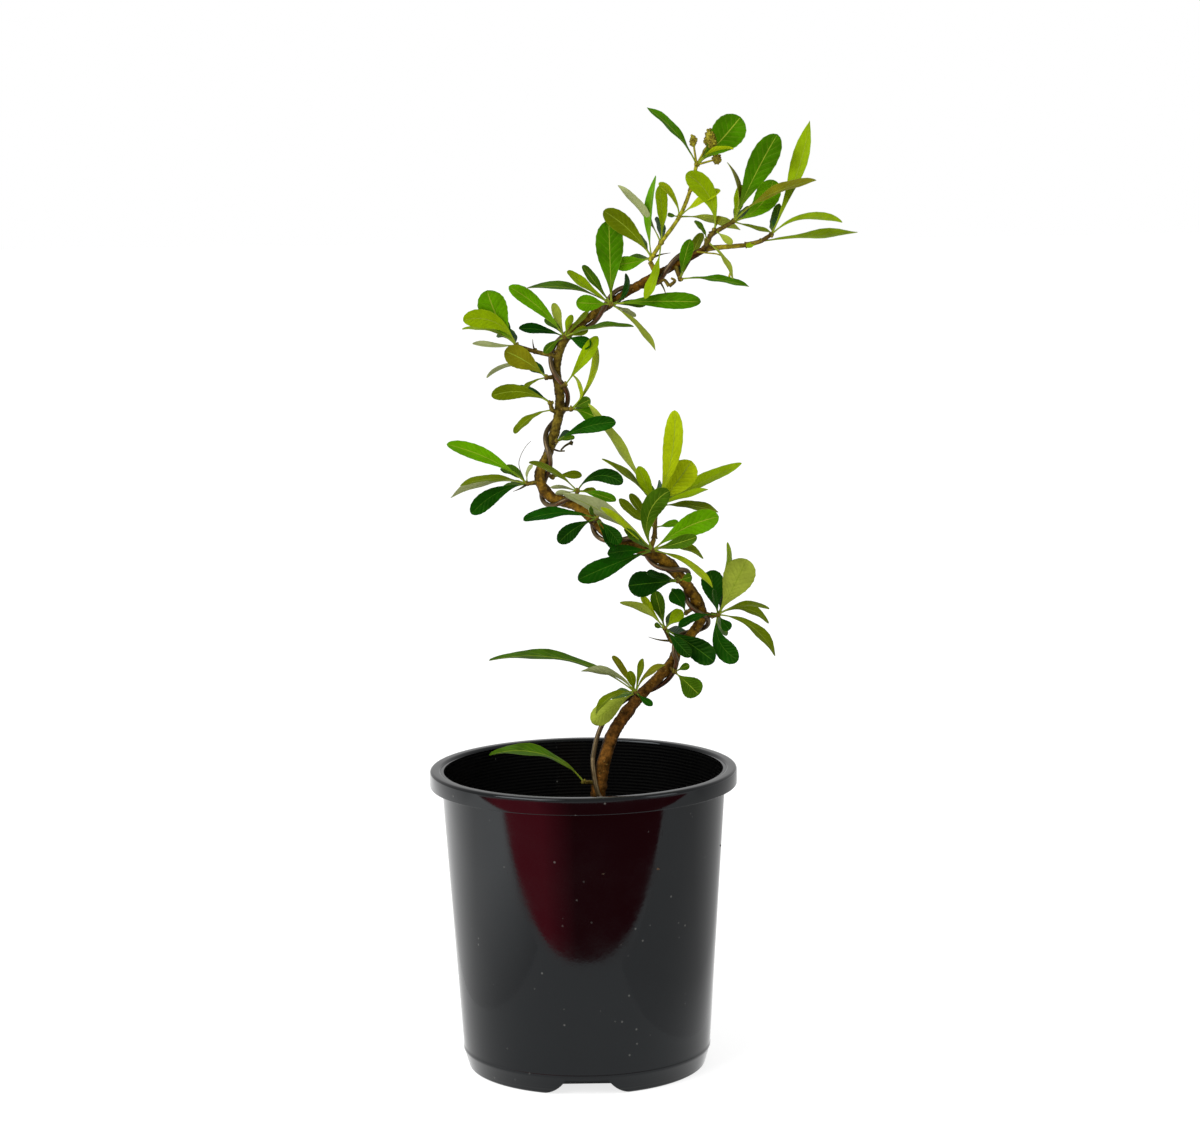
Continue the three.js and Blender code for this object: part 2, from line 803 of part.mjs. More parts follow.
// A leaf is turned a few degrees at a time until it is clear of what stands already, and left out if it can't be.
function placeLeaf(foot, row, taken) {
  const shape = row[5] === "thorn" ? thornGeometry : leafGeometry;
  for (const turn of TURNS_TRIED) {
    const lean = row[4] + turn;
    if (solidOf(shape(foot, row, lean, CLEAR)).intersect(taken).isEmpty()) return solidOf(shape(foot, row, lean));
  }
  return null;
}

function knuckle(point) {
  return solidOf(new THREE.OctahedronGeometry(STEM.knuckle, 0).translate(point.x, point.y, point.z));
}

function budCluster([x, y, z, width, height]) {
  const ball = new THREE.IcosahedronGeometry(BUD.ball, 0).scale(width, width, height);
  return solidOf(ball.translate(x, y, z));
}

function growCluster(cluster, taken, cut, random) {
  const path = cluster.path.map(vector);
  const bough = cluster.bough && BOUGHS[cluster.bough];
  const start = bough ? vector(bough.at(-1)) : nearestOnTrunk(path[0]);
  if (bough) start.addScaledVector(path[0].clone().sub(start).normalize(), CLEAR);
  const stemPath = [start, ...path].map((p, i, all) => [
    ...p.toArray(),
    THREE.MathUtils.lerp(STEM.foot, STEM.tip, i / (all.length - 1)),
  ]);
  let solid = solidOf(limb(stemPath, 1 + path.length, STEM.sides));
  solid = largest(solid.subtract(cut));
  for (const point of path) solid = solid.add(knuckle(point));
  for (const row of [...cluster.leaves, ...growFarLeaves(cluster, random)]) {
    const leaf = placeLeaf(path[row[6] ?? path.length - 1], row, taken);
    if (leaf) solid = solid.add(leaf);
  }
  for (const bud of cluster.buds ?? []) {
    const stalk = [[...path.at(-1).toArray(), BUD.stalkFoot], [bud[0], bud[1], bud[2], BUD.stalkTip]];
    solid = solid.add(solidOf(limb(stalk, 1, STEM.sides))).add(budCluster(bud));
  }
  return largest(solid.subtract(cut)).simplify(SEAM);
}

function growBough(points, cut, grow = 0) {
  const start = nearestOnTrunk(vector(points[0]));
  const path = [[...start.toArray(), points[0][3] + BOUGH_FLARE], ...points];
  return largest(solidOf(limb(path, 1 + points.length, STEM.sides, grow)).subtract(cut));
}

// The whole plant in its pot

function material(colour, roughness, metalness = 0) {
  return new THREE.MeshStandardMaterial({ color: colour, roughness, metalness });
}

function addMesh(group, name, solid, finish) {
  const mesh = new THREE.Mesh(geometryOf(solid), finish);
  mesh.name = name;
  group.add(mesh);
}

const barkFinish = material(COLOURS.bark, 0.8);
const shootFinish = material(COLOURS.shoot, 0.6);
const leafFinish = material(COLOURS.leaf, 0.45);

const potGroup = new THREE.Group();
addMesh(potGroup, "pot", makePot(), material(COLOURS.pot, 0.25));
addMesh(potGroup, "soil", makeSoil(), material(COLOURS.soil, 0.95));

const plantGroup = new THREE.Group();
const trunk = solidOf(makeTrunk());
const trunkClear = solidOf(limb(TRUNK, TRUNK_STEPS, TRUNK_SIDES, CLEAR));
const wire = solidOf(makeWire());
addMesh(plantGroup, "trunk", trunk, barkFinish);
addMesh(plantGroup, "training_wire", wire, material(COLOURS.wire, 0.35, 0.9));

let taken = trunk.add(wire).add(makePot());
let cut = trunkClear.add(solidOf(makeWire(CLEAR)));
for (const [name, points] of Object.entries(BOUGHS)) {
  const bough = growBough(points, cut);
  addMesh(plantGroup, name, bough, shootFinish);
  taken = taken.add(bough);
  cut = cut.add(growBough(points, cut, CLEAR));
}

const random = seeded(SEED);
for (const [name, cluster] of Object.entries(CLUSTERS)) {
  const mass = growCluster(cluster, taken, cut, random);
  addMesh(plantGroup, name, mass, leafFinish);
  taken = taken.add(mass);
}

const plant = new THREE.Group();
plant.add(potGroup, plantGroup);

export default plant;
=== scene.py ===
# A young Chinese firethorn in a black nursery pot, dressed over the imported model.
# The plant's and the pot's tables are in millimetres, the stage's tables and all meshes in metres.
# The pot stands on z = 0 and its front faces -Y.

import math

import bpy
import numpy as np
from mathutils import Matrix, Vector, noise
from mathutils.bvhtree import BVHTree


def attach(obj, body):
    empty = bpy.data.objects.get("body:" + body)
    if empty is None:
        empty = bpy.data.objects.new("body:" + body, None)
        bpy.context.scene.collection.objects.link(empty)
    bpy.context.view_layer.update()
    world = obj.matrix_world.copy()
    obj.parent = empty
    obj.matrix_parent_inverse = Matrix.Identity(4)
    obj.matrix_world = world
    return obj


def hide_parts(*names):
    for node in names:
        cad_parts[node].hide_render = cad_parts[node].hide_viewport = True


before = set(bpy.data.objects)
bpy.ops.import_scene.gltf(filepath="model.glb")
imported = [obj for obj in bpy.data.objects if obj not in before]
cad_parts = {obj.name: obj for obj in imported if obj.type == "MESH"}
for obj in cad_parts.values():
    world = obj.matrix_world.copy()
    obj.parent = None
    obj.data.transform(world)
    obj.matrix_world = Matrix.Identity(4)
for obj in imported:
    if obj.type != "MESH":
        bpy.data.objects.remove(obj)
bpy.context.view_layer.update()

bl_info = {
    "name": "Potted Chinese firethorn",
    "version": (1, 0, 0),
    "blender": (4, 5, 0),
    "location": "3D View > Sidebar > Firethorn",
    "description": "Dresses a wired young firethorn and its nursery pot",
    "category": "Object",
}

MM = 0.001
ROOT = "root"

# The plant's paths and leaves, as in the part's source

SEED = 4711
# The gap between solids that stand close
CLEAR = 0.3
POT = {
    "height": 166, "rimRadius": 84, "rimHeight": 9, "lipWidth": 6, "underRimRadius": 77.6,
    "lowRadius": 68.1, "lowHeight": 11, "footRadius": 65.4, "wall": 1.6, "floor": 2, "edge": 1.5,
}
NOTCH = {"count": 3, "footWidth": 48, "roofWidth": 23, "height": 8.5, "inner": 44, "roof": 2}
SOIL_TOP = 126
# The trunk's middle line from the soil up, with its radius at each point
TRUNK = [
    [7, 0, SOIL_TOP + CLEAR, 7], [7.4, 0, 134, 4.9], [8.2, 0, 153, 4], [12.5, 1, 172.5, 3.6],
    [18.5, 3, 187, 3.5], [29.5, 5, 201.5, 3.2], [39.5, 7, 211.5, 2.8], [49.5, 8, 222, 3.1],
    [52.5, 8, 228.5, 2.7], [63, 7, 241.5, 2.8], [65.5, 4, 250.5, 2.9], [59, -3, 264, 3],
    [48, -9, 278.5, 3.3], [37.5, -13, 285.5, 2.9], [17, -18, 295, 2.8], [0, -15, 311, 2.9],
    [-16, -9, 316.5, 2.9], [-21.5, -2, 327, 2.8], [-16, 4, 340, 2.6], [-10, 10, 364, 2.6],
    [-11.5, 13, 385, 2.4], [-5, 13, 402, 2.3], [12.5, 10, 415, 2.2], [37, 6, 430.5, 2.2],
    [53, 3, 439, 2], [69.5, 0, 448, 1.6],
]
# Each of the wire's turns is a distance along the trunk and how many times it has gone round by there
WIRE = {
    "radius": 1.35, "looseFrom": 34, "looseTo": 90, "loose": 2.5,
    "turns": [
        [2, -0.5], [25, 0], [43, 0.22], [64, 0.27], [81, 0.42], [97, 0.7], [114, 1], [145, 2], [178, 3],
        [214, 4], [249, 5], [285, 6], [328, 7], [378, 8], [418, 9], [433, 9.35],
    ],
}
# How much thicker a bough is where it leaves the trunk
BOUGH_FLARE = 0.2
BOUGHS = {
    "bough_centre": [[40, -12, 293, 1.3]],
    "bough_right_spur": [[71, 2, 248.5, 1.3]],
    "bough_flower_shoot": [[39.5, 4, 441, 1.3]],
    "bough_upright_shoot": [[72, 4, 455, 1.3]],
    "bough_right_shoot": [[84, -1, 449, 1.3], [90.5, -1, 449.5, 1.2]],
}
# Each cluster's twig runs along its path. A leaf's row gives its bearing, its bend, the length and width
# that the front shows, its lean away, the shade of its visible face, and the point of the path where it
# grows when that isn't the last. Far leaves are drawn by rule, and buds give a place, a width and a height.
CLUSTERS = {
    "leaf_over_rim": {
        "path": [[0, -5, 158.5]], "far": 0,
        "leaves": [[163, 76, 54, 6, -5, "moss"]],
    },
    "leaves_low_left": {
        "path": [[29, -3.4, 207.4]], "far": 2,
        "leaves": [
            [168, 58, 82, 5.2, 4, "moss"], [155, 60, 33, 4.5, -20, "below grey"],
            [123, 12, 23, 4, 15, "bronze"], [104, 0, 13.6, 5, -26, "olive"], [77, 0, 19, 3.5, 5, "olive"],
            [43, -50, 23, 3.5, -12, "bronze"], [206, 92, 24, 4.3, -25, "olive"],
            [213, 10, 28.5, 11, -12, "below under"], [325, 0, 11, 4, -30, "dark"],
        ],
    },
    "leaves_low_right": {
        "path": [[50.5, 2.5, 217.5]], "far": 1,
        "leaves": [
            [317, -5, 18, 12, -10, "moss"], [25, 0, 9, 4, 0, "moss"],
        ],
    },
    "leaves_yellow_spur": {
        "path": [[49, 4, 234.5], [45.5, 1, 241.5]], "far": 3,
        "leaves": [
            [124, -15, 22, 4, 20, "citron"], [50, 0, 14.5, 7, -20, "lime"], [152, 0, 6.5, 3, -20, "moss"],
            [147.5, 45, 29.5, 4.5, -15, "below under"], [105, 0, 20, 7.5, 30, "moss"],
            [328, -8, 31, 12.5, -22, "deep"], [316, 0, 19, 7, -35, "deep"],
            [168, 0, 13, 1.6, -10, "thorn", 0],
        ],
    },
    "leaf_right_bend": {
        "path": [[57, -1, 250.5]], "far": 1,
        "leaves": [[122, 20, 15, 9, -10, "dark"]],
    },
    "leaves_right_spur": {
        "path": [[74.5, 1, 249]], "far": 4, "bough": "bough_right_spur",
        "leaves": [
            [62, 8, 34, 17, 5, "below under"], [82, 40, 39, 4, 15, "lime"], [99, 0, 22, 12.5, 41, "dark"],
            [101, 0, 15.5, 3, -30, "dark"], [7, -60, 28, 3, -15, "olive"], [-15, -85, 29, 5, 15, "olive"],
            [-37, -65, 38, 6, -10, "olive"], [192, 48, 22, 4.5, -35, "dark"], [307, 0, 10, 6, -20, "dark"],
            [296, 85, 26, 11, -18, "dark"],
        ],
    },
    "leaves_centre_shoot": {
        "path": [[40.5, -11, 299], [41, -9, 310]], "far": 4, "bough": "bough_centre",
        "leaves": [
            [79, 24, 54, 10.5, -8, "citron"], [53, 14, 32, 15, -12, "citron"], [25, -4, 52, 7, 10, "lime"],
            [20, -15, 30, 3.5, -20, "lime"], [123, 10, 66, 5, 8, "below under"],
            [137, 35, 40, 3.5, -15, "olive"], [112, 0, 25, 7, -20, "lime"],
            [-4, -30, 33.6, 5, -18, "olive"], [139, -15, 25.5, 5, -15, "olive", 0],
            [126, -15, 22, 5, 20, "olive", 0], [14, 0, 13, 4, -10, "bright", 0],
        ],
    },
    "leaves_centre_front": {
        "path": [[39, -21, 288]], "far": 0,
        "leaves": [
            [73, -88, 34.5, 11.5, -12, "moss"], [27, -30, 40, 12.5, -8, "bright"],
            [20, 0, 25, 7, -25, "moss"], [-8, -74, 27, 4, -25, "olive"], [-32, -45, 37, 4, -15, "citron"],
            [146, 27, 58, 8, -10, "below grey"], [137, 10, 38, 4, -25, "citron"],
            [139, 0, 20.5, 4.2, -35, "moss"], [181, 10, 24.5, 7.5, -20, "dark"],
            [200, 6, 43, 11, -8, "dark"],
        ],
    },
    "leaves_right_arch": {
        "path": [[52.5, -13, 270]], "far": 2,
        "leaves": [
            [183, 0, 27, 14, -12, "deep"], [160, 0, 18, 4, -30, "deep"], [20, 0, 8, 5, -20, "moss"],
        ],
    },
    "leaves_under_bend": {
        "path": [[9, -25, 306]], "far": 0,
        "leaves": [
            [180, 42, 39, 6.3, -10, "dark"], [211, 32, 23.5, 8.8, -18, "deep"],
            [312, -20, 18, 7.5, -15, "dark"], [300, 10, 19, 4, -2, "dark"], [120, 0, 8, 3, -30, "moss"],
        ],
    },
    "leaves_mid_spur": {
        "path": [[-1, -17, 320]], "far": 0,
        "leaves": [
            [146.6, 32, 31, 3.5, -22, "olive"], [8.3, -105, 24.8, 8, -15, "deep"],
            [347, -25, 21, 5, -25, "mid"], [0, 0, 10, 3, 20, "olive"],
            [167, 20, 14.8, 2.5, -35, "below grey"], [188, 0, 12, 3, 15, "below grey"],
        ],
    },
    "leaf_low_bend": {
        "path": [[-14.5, 3, 325.3]], "far": 0,
        "leaves": [[1, -25, 16, 4.5, 5, "olive"]],
    },
    "leaves_left_spur": {
        "path": [[-28, -6, 323]], "far": 4,
        "leaves": [
            [154, 28, 48.5, 8.2, 6, "bright"], [179, 46, 36, 4, -20, "olive"],
            [192, 50, 43, 4.5, 12, "below grey"], [207.7, 42, 34, 9.5, -10, "dark"],
            [70, -60, 10.4, 2.2, 20, "grey"], [205, 0, 8.5, 1.8, -25, "thorn"],
        ],
    },
    "leaves_neck_low_left": {
        "path": [[-14.2, 7, 361.5], [-15, 6, 365.3]], "far": 2,
        "leaves": [
            [172.7, 55, 32.2, 8.5, -10, "olive"], [211, 50, 23.6, 4.5, -20, "olive", 0],
        ],
    },
    "leaves_neck_high_left": {
        "path": [[-17, 8, 379]], "far": 2,
        "leaves": [
            [218, 61, 18, 2.8, -4, "olive"], [147, 25, 27, 12, -5, "bronze"],
            [183, 95, 33, 2.3, 15, "below grey"],
        ],
    },
    "leaves_neck_right": {
        "path": [[-4, 5, 362]], "far": 3,
        "leaves": [
            [69.7, 55, 38.5, 4.2, 10, "citron"], [90, 110, 19.4, 2.3, -15, "citron"],
            [28, 0, 12, 6, -20, "moss"], [339, -25, 15, 8.5, -12, "mid"],
        ],
    },
    "leaf_neck_right": {
        "path": [[-7, 6, 375]], "far": 0,
        "leaves": [[56, 5, 32, 7.2, -5, "lime"]],
    },
    "leaves_neck_front": {
        "path": [[-12, -3, 345.5]], "far": 1,
        "leaves": [
            [18, -35, 34, 8.5, -16, "dark"], [12, 0, 10, 3, 15, "moss"],
        ],
    },
    "leaves_upper_left": {
        "path": [[-23, 10, 393], [-33, 8, 396.5]], "far": 4,
        "leaves": [
            [116, -28, 34, 15.5, -5, "bright"], [154.6, 85, 32, 10, -12, "lime"],
            [165, 60, 31, 2.8, 15, "lime"], [174, -5, 23.6, 3.5, -25, "grey"],
            [100, 0, 7, 1.4, -10, "thorn", 0],
        ],
    },
    "leaves_elbow": {
        "path": [[-7, 6.5, 401]], "far": 1,
        "leaves": [
            [137, 28, 40.7, 8.3, -8, "bright"], [168, 31, 25, 5.5, -20, "deep"],
            [108, 0, 19, 5, 15, "below under"], [72, 0, 13, 4, -20, "below lime"],
            [21, 0, 13.8, 5, -30, "olive"], [9, -38, 38, 2.8, -25, "moss"], [340, -20, 15, 7, -15, "dark"],
            [219, 30, 13.7, 4.5, -20, "moss"], [46, 0, 20, 3, 7, "olive"],
        ],
    },
    "leaves_upper_arch": {
        "path": [[18.5, 3.5, 418.5]], "far": 3,
        "leaves": [
            [91, 0, 45, 15, 0, "mid"], [1.4, -12, 48, 9, -12, "mid"], [175, 0, 19, 9, -20, "bright"],
            [126, 0, 26, 5, 4, "moss"], [142, 0, 30, 5, -15, "lime"], [169, 45, 47, 4, 2, "moss"],
            [68, 90, 19, 3.5, -22, "deep"], [-47, -30, 34, 3.5, -15, "under"], [333, 0, 15, 3, 15, "grey"],
        ],
    },
    "leaves_flower_shoot": {
        "path": [[40.5, 4, 443], [45.5, 3, 451], [55.5, 2, 465], [61.5, 2, 479], [65, 2, 492.5]],
        "far": 4, "bough": "bough_flower_shoot",
        "leaves": [
            [135.4, 28, 36.4, 10.5, -8, "olive", 0], [190, -10, 20, 8, 10, "bright", 0],
            [86, -27, 44, 4.6, 12, "bright", 0], [15, 0, 10.5, 1.6, -10, "thorn", 0],
            [127, 30, 38.3, 4.6, 15, "below grey", 1], [92, 18, 31, 6.5, -15, "lime", 1],
            [252.6, -22, 30.5, 5.2, -20, "lime", 1], [123, 55, 21.4, 4, -15, "citron", 2],
            [32, -22, 26, 4.5, -20, "citron", 2], [-14, -30, 34, 5, 10, "below under", 2],
            [170, 0, 6.5, 2.5, -10, "moss", 2], [131, 34, 40.5, 5, 8, "mid"],
            [47, 8, 34.5, 17.5, -5, "mid"], [21, -65, 21.5, 3, -15, "below citron"],
        ],
        "buds": [[63.2, 1, 505.2, 4.5, 7], [72.6, 1, 505.7, 7.6, 11.7], [75.8, 1, 495.4, 5.4, 6.3]],
    },
    "leaves_trunk_top": {
        "path": [[55.5, -3, 432]], "far": 2,
        "leaves": [
            [76, -8, 22.5, 6.8, -25, "mid"], [62, 0, 26.5, 6, 42, "olive"], [-7, -28, 37, 4, -12, "mid"],
        ],
    },
    "leaves_trunk_tip": {
        "path": [[70, -5, 452], [74, -6, 458]], "far": 0,
        "leaves": [
            [118, 71, 34, 11, -5, "lime"], [70, 0, 8, 3, 10, "bronze"], [-38, 0, 12, 4, -10, "below under"],
            [125, 50, 13, 3, -20, "moss", 0], [-57, -40, 24, 3, -15, "under", 0],
        ],
    },
    "leaves_upright_shoot": {
        "path": [[84.5, 3, 462]], "far": 4, "bough": "bough_upright_shoot",
        "leaves": [
            [62.8, -6, 52, 14.5, -4, "mid"], [46, 60, 31, 13, 12, "bright"],
            [26, -40, 49, 5, -15, "bronze"], [97, 66, 32, 2.3, 2, "bronze"], [76, 0, 20, 5, 14, "lime"],
            [-16, 0, 20.5, 2.5, -20, "olive"],
        ],
    },
    "leaves_right_shoot": {
        "path": [[98.5, -2, 451.5], [104.5, -2, 455]], "far": 4, "bough": "bough_right_shoot",
        "leaves": [
            [70.2, 14, 64, 8, 13, "lime"], [8.6, -70, 38, 4.3, -15, "lime"],
            [4, -6, 53.4, 4.5, 10, "lime", 0], [200, 0, 8, 3, -15, "lime", 0],
        ],
    },
}
# The radius of a twig at both ends, the form of a plain leaf, and the rule of the far leaves
STEM = {"foot": 1.3, "tip": 1.1}
LEAF = {
    "shares": [0, 0.25, 0.72, 1], "widths": [0.08, 0.42, 1, 0], "footThickness": 1, "footStart": 1.3,
    "thickness": 0.7, "thicknessShare": 1 / 80, "slimmest": 3, "broadens": 0.2, "broadest": 15, "fold": 14,
}
FAR = {
    "hiddenBy": 6.5, "shortest": 20, "longest": 34, "leanFrom": 42, "leanTo": 70, "spread": 12,
    "shareOfFront": 0.8, "narrow": 3, "wide": 6, "mostBend": 60,
}
# A leaf that would cut into its neighbours leans by the first of these turns that clears it
TURNS_TRIED = [0, 8, -8, 16, -16, 24, -24, 32, -32]

# What the dressed plant adds to them

# Half the blade's width at shares of its length
LEAF_OUTLINES = {
    "round": [
        (0, 0.1), (0.07, 0.07), (0.15, 0.12), (0.24, 0.27), (0.36, 0.52), (0.5, 0.8), (0.62, 0.96),
        (0.72, 1), (0.81, 0.95), (0.89, 0.8), (0.95, 0.57), (0.985, 0.3), (1, 0),
    ],
    "pointed": [
        (0, 0.1), (0.07, 0.07), (0.15, 0.13), (0.24, 0.3), (0.36, 0.58), (0.5, 0.88), (0.6, 1),
        (0.7, 0.97), (0.8, 0.82), (0.88, 0.58), (0.94, 0.35), (0.98, 0.14), (1, 0),
    ],
}
# Where a blade's rings lie along it, and the columns of its upper side across it
BLADE_SHARES = [
    0, 0.04, 0.08, 0.12, 0.16, 0.21, 0.26, 0.31, 0.36, 0.41, 0.46, 0.51, 0.56, 0.61, 0.66, 0.71, 0.76,
    0.81, 0.855, 0.895, 0.93, 0.96, 0.985,
]
BLADE_COLUMNS = [-1, -0.74, -0.4, -0.035, 0.035, 0.4, 0.74, 1]
# Linear colours of the leaves' shades
LEAF_SHADES = {
    "deep": (0.0008, 0.024, 0.0005),
    "dark": (0.003, 0.043, 0.0006),
    "moss": (0.034, 0.085, 0.002),
    "mid": (0.038, 0.128, 0.0003),
    "bright": (0.072, 0.205, 0.0003),
    "olive": (0.083, 0.115, 0.001),
    "bronze": (0.122, 0.12, 0.003),
    "lime": (0.165, 0.25, 0.0008),
    "citron": (0.25, 0.32, 0.002),
    "under": (0.235, 0.285, 0.03),
    "grey": (0.25, 0.275, 0.12),
    "rib": (0.2, 0.26, 0.02),
    "rib_dark": (0.025, 0.085, 0.005),
}
DEEPEST = ("deep", "dark")
DARK_SHADES = (*DEEPEST, "moss", "mid")
# The dull shades, which most undersides have
UNDERSIDES = ("under", "grey")
# The furthest that a leaf may lean, in degrees
MOST_LEAN = 80
# A leaf narrows to this share of its true width as it turns towards the eye
NARROWED = 0.78
# A leaf that shows less width than this share of its length has the pointed outline
SLIM = 0.155
# The eye's height and its distance from the plant, rounded from the camera's place to millimetres
EYE = {"height": 544, "distance": 1835}
# The first cluster of the upper crown
UPPER_CROWN_FROM = "leaves_left_spur"
# The slots of the twigs
WOOD, GREEN, SCALE, DRY = range(4)
# Their bark's colour at two heights in metres, and in patches
TWIG_HEIGHTS = (0.17, 0.5)
TWIG_BARKS = {
    "twig_bark": ((0.12, 0.085, 0.015), (0.13, 0.1, 0.012), (0.05, 0.03, 0.006)),
    "green_shoot": ((0.25, 0.26, 0.02), (0.26, 0.25, 0.012), (0.2, 0.17, 0.015)),
    "bud_scale": ((0.16, 0.15, 0.02), (0.2, 0.19, 0.02), (0.1, 0.07, 0.012)),
    "thorn": ((0.05, 0.04, 0.01), (0.07, 0.07, 0.02), (0.02, 0.014, 0.005)),
}
# Threads, dry stalks and spikes: their slot, their radius at both ends, and their path
WISPS = [
    (DRY, 0.22, 0.12, [
        (-29.7, -10, 325.6), (-32.3, -10, 333.7), (-31.1, -10, 339.1), (-28.3, -10, 343.9),
        (-25.6, -10, 346.6),
    ]),
    (GREEN, 0.5, 0.35, [
        (64.5, -3, 446.5), (70.5, -4, 445.7), (75.3, -4, 445.1), (79.6, -4, 443), (81.7, -4, 439.7),
        (82.2, -4, 435.4),
    ]),
    (GREEN, 0.3, 0.9, [(82.2, -4, 435.4), (81.9, -4, 433.6), (81.6, -4, 431.7)]),
    (WOOD, 0.7, 1.1, [(43.5, -8, 429.8), (46.7, -8, 431.9), (49.4, -8, 428.6)]),
    (WOOD, 1.1, 0.6, [(49.4, -8, 428.6), (52.6, -8, 431.3), (50.5, -8, 432.9)]),
    (DRY, 0.6, 0.2, [(45.1, -8, 430.3), (46.7, -8, 427.1), (47.7, -8, 423.9)]),
    (DRY, 0.5, 0.9, [
        (-9.8, 6, 339.7), (-7.6, 6, 341.9), (-4.8, 6, 343.5), (-3.7, 6, 344.6), (-4.3, 6, 342.4),
    ]),
    (WOOD, 0.6, 0.4, [(-14.1, 8, 340.1), (-10.9, 8, 339), (-7.6, 8, 339)]),
]
# Each node of the trunk: how far along it is, and the height and width of its ring
TRUNK_NODES = [
    (9, 0.7, 2.2), (29, 0.9, 2), (55, 0.3, 2), (73, 0.9, 2.4), (103, 0.8, 2.6), (124, 0.4, 1.6),
    (152, 0.8, 2.2), (179, 0.9, 2.6), (205, 0.5, 2), (240, 0.6, 2), (262, 0.7, 2.2), (297, 0.4, 1.8),
    (321, 0.5, 1.8), (351, 0.6, 2), (372, 0.4, 1.6), (399, 0.5, 1.6), (428, 0.4, 1.4),
]

# Curves and meshes


def eased(before, a, b, after, t):
    """A value from a to b on the smooth curve that also runs through the values before and after them."""
    ta = (b - before) * 0.5
    tb = (after - a) * 0.5
    return a + ta * t + (a * -3 + b * 3 - ta * 2 - tb) * t * t + (a * 2 - b * 2 + ta + tb) * t * t * t


def catmull(points, t):
    """A point of the smooth curve through the points, with t from 0 to 1."""
    place = t * (len(points) - 1)
    i = min(int(place), len(points) - 2)
    a = points[i]
    b = points[i + 1]
    before = points[i - 1] if i > 0 else a * 2 - b
    after = points[i + 2] if i + 2 < len(points) else b * 2 - a
    return eased(before, a, b, after, place - i)


class Limb:
    """A limb's path and radius, read by distance along it."""

    def __init__(self, rows, steps=1600):
        self.points = [Vector(row[:3]) for row in rows]
        self.radii = [row[3] for row in rows]
        self.places = [catmull(self.points, i / steps) for i in range(steps + 1)]
        self.reach = [0.0]
        for a, b in zip(self.places, self.places[1:]):
            self.reach.append(self.reach[-1] + (b - a).length)
        self.length = self.reach[-1]

    def share(self, along):
        """How far through the curve's own parameter a distance along it is."""
        along = min(max(along, 0.0), self.length)
        i = int(np.searchsorted(self.reach, along, side="right")) - 1
        i = min(max(i, 0), len(self.reach) - 2)
        gap = self.reach[i + 1] - self.reach[i]
        return (i + (along - self.reach[i]) / max(gap, 1e-9)) / (len(self.reach) - 1)

    def at(self, along):
        return catmull(self.points, self.share(along))

    def radius(self, along):
        place = self.share(along) * (len(self.radii) - 1)
        i = min(int(place), len(self.radii) - 2)
        return self.radii[i] + (self.radii[i + 1] - self.radii[i]) * (place - i)

    def tangent(self, along):
        return (self.at(along + 0.05) - self.at(along - 0.05)).normalized()

    def cuts(self, count):
        """Even distances from end to end, with the place and the radius at each."""
        alongs = [self.length * k / count for k in range(count + 1)]
        return alongs, [self.at(along) for along in alongs], [self.radius(along) for along in alongs]

    def nearest(self, point):
        return min(self.places, key=lambda p: (p - point).length_squared)


def linked(name, data):
    """A new object of the scene with this data."""
    made = bpy.data.objects.new(name, data)
    bpy.context.scene.collection.objects.link(made)
    return made


class Mesh:
    """Collects the vertices, faces, slots and UV places of one piece."""

    def __init__(self):
        self.verts = []
        self.faces = []
        self.slots = []
        self.uvs = []

    def add(self, verts, faces, slots, uvs=None):
        """Adds vertices and faces, with one slot for all the faces or one for each."""
        start = len(self.verts)
        self.verts.extend(verts)
        self.faces.extend([tuple(start + i for i in face) for face in faces])
        self.slots.extend([slots] * len(faces) if isinstance(slots, int) else slots)
        self.uvs.extend(uvs if uvs else [(0.5, 0.5)] * len(verts))

    def finish(self, name, materials, sharp=None):
        """Makes the object, in metres, with its faces smooth and its UV map."""
        data = bpy.data.meshes.new(name)
        data.from_pydata([v * MM for v in self.verts], [], self.faces)
        for material in materials:
            data.materials.append(material)
        data.polygons.foreach_set("material_index", self.slots)
        data.polygons.foreach_set("use_smooth", [True] * len(self.faces))
        corners = np.empty(len(data.loops), dtype=np.int32)
        data.loops.foreach_get("vertex_index", corners)
        places = np.array(self.uvs, dtype=np.float32)[corners]
        data.uv_layers.new(name="UVMap").data.foreach_set("uv", places.ravel())
        data.update()
        if sharp:
            data.set_sharp_from_angle(angle=math.radians(sharp))
        return linked(name, data)


def side_frames(centres):
    """Two directions across a path at each of its points, carried along it without twist."""
    frames = []
    side = None
    for k in range(len(centres)):
        ahead = centres[min(k + 1, len(centres) - 1)]
        behind = centres[max(k - 1, 0)]
        tangent = (ahead - behind).normalized()
        if side is None:
            side = tangent.orthogonal().normalized()
        side = (side - tangent * side.dot(tangent)).normalized()
        frames.append((side.copy(), tangent.cross(side)))
    return frames


def ringed_faces(rings, sides):
    """The faces of rings of vertices, closed by the two single vertices that come after them."""
    faces = []
    for k in range(rings - 1):
        for i in range(sides):
            j = (i + 1) % sides
            faces.append((k * sides + i, k * sides + j, (k + 1) * sides + j, (k + 1) * sides + i))
    last = (rings - 1) * sides
    foot = rings * sides
    for i in range(sides):
        j = (i + 1) % sides
        faces.append((foot, j, i))
        faces.append((foot + 1, last + i, last + j))
    return faces


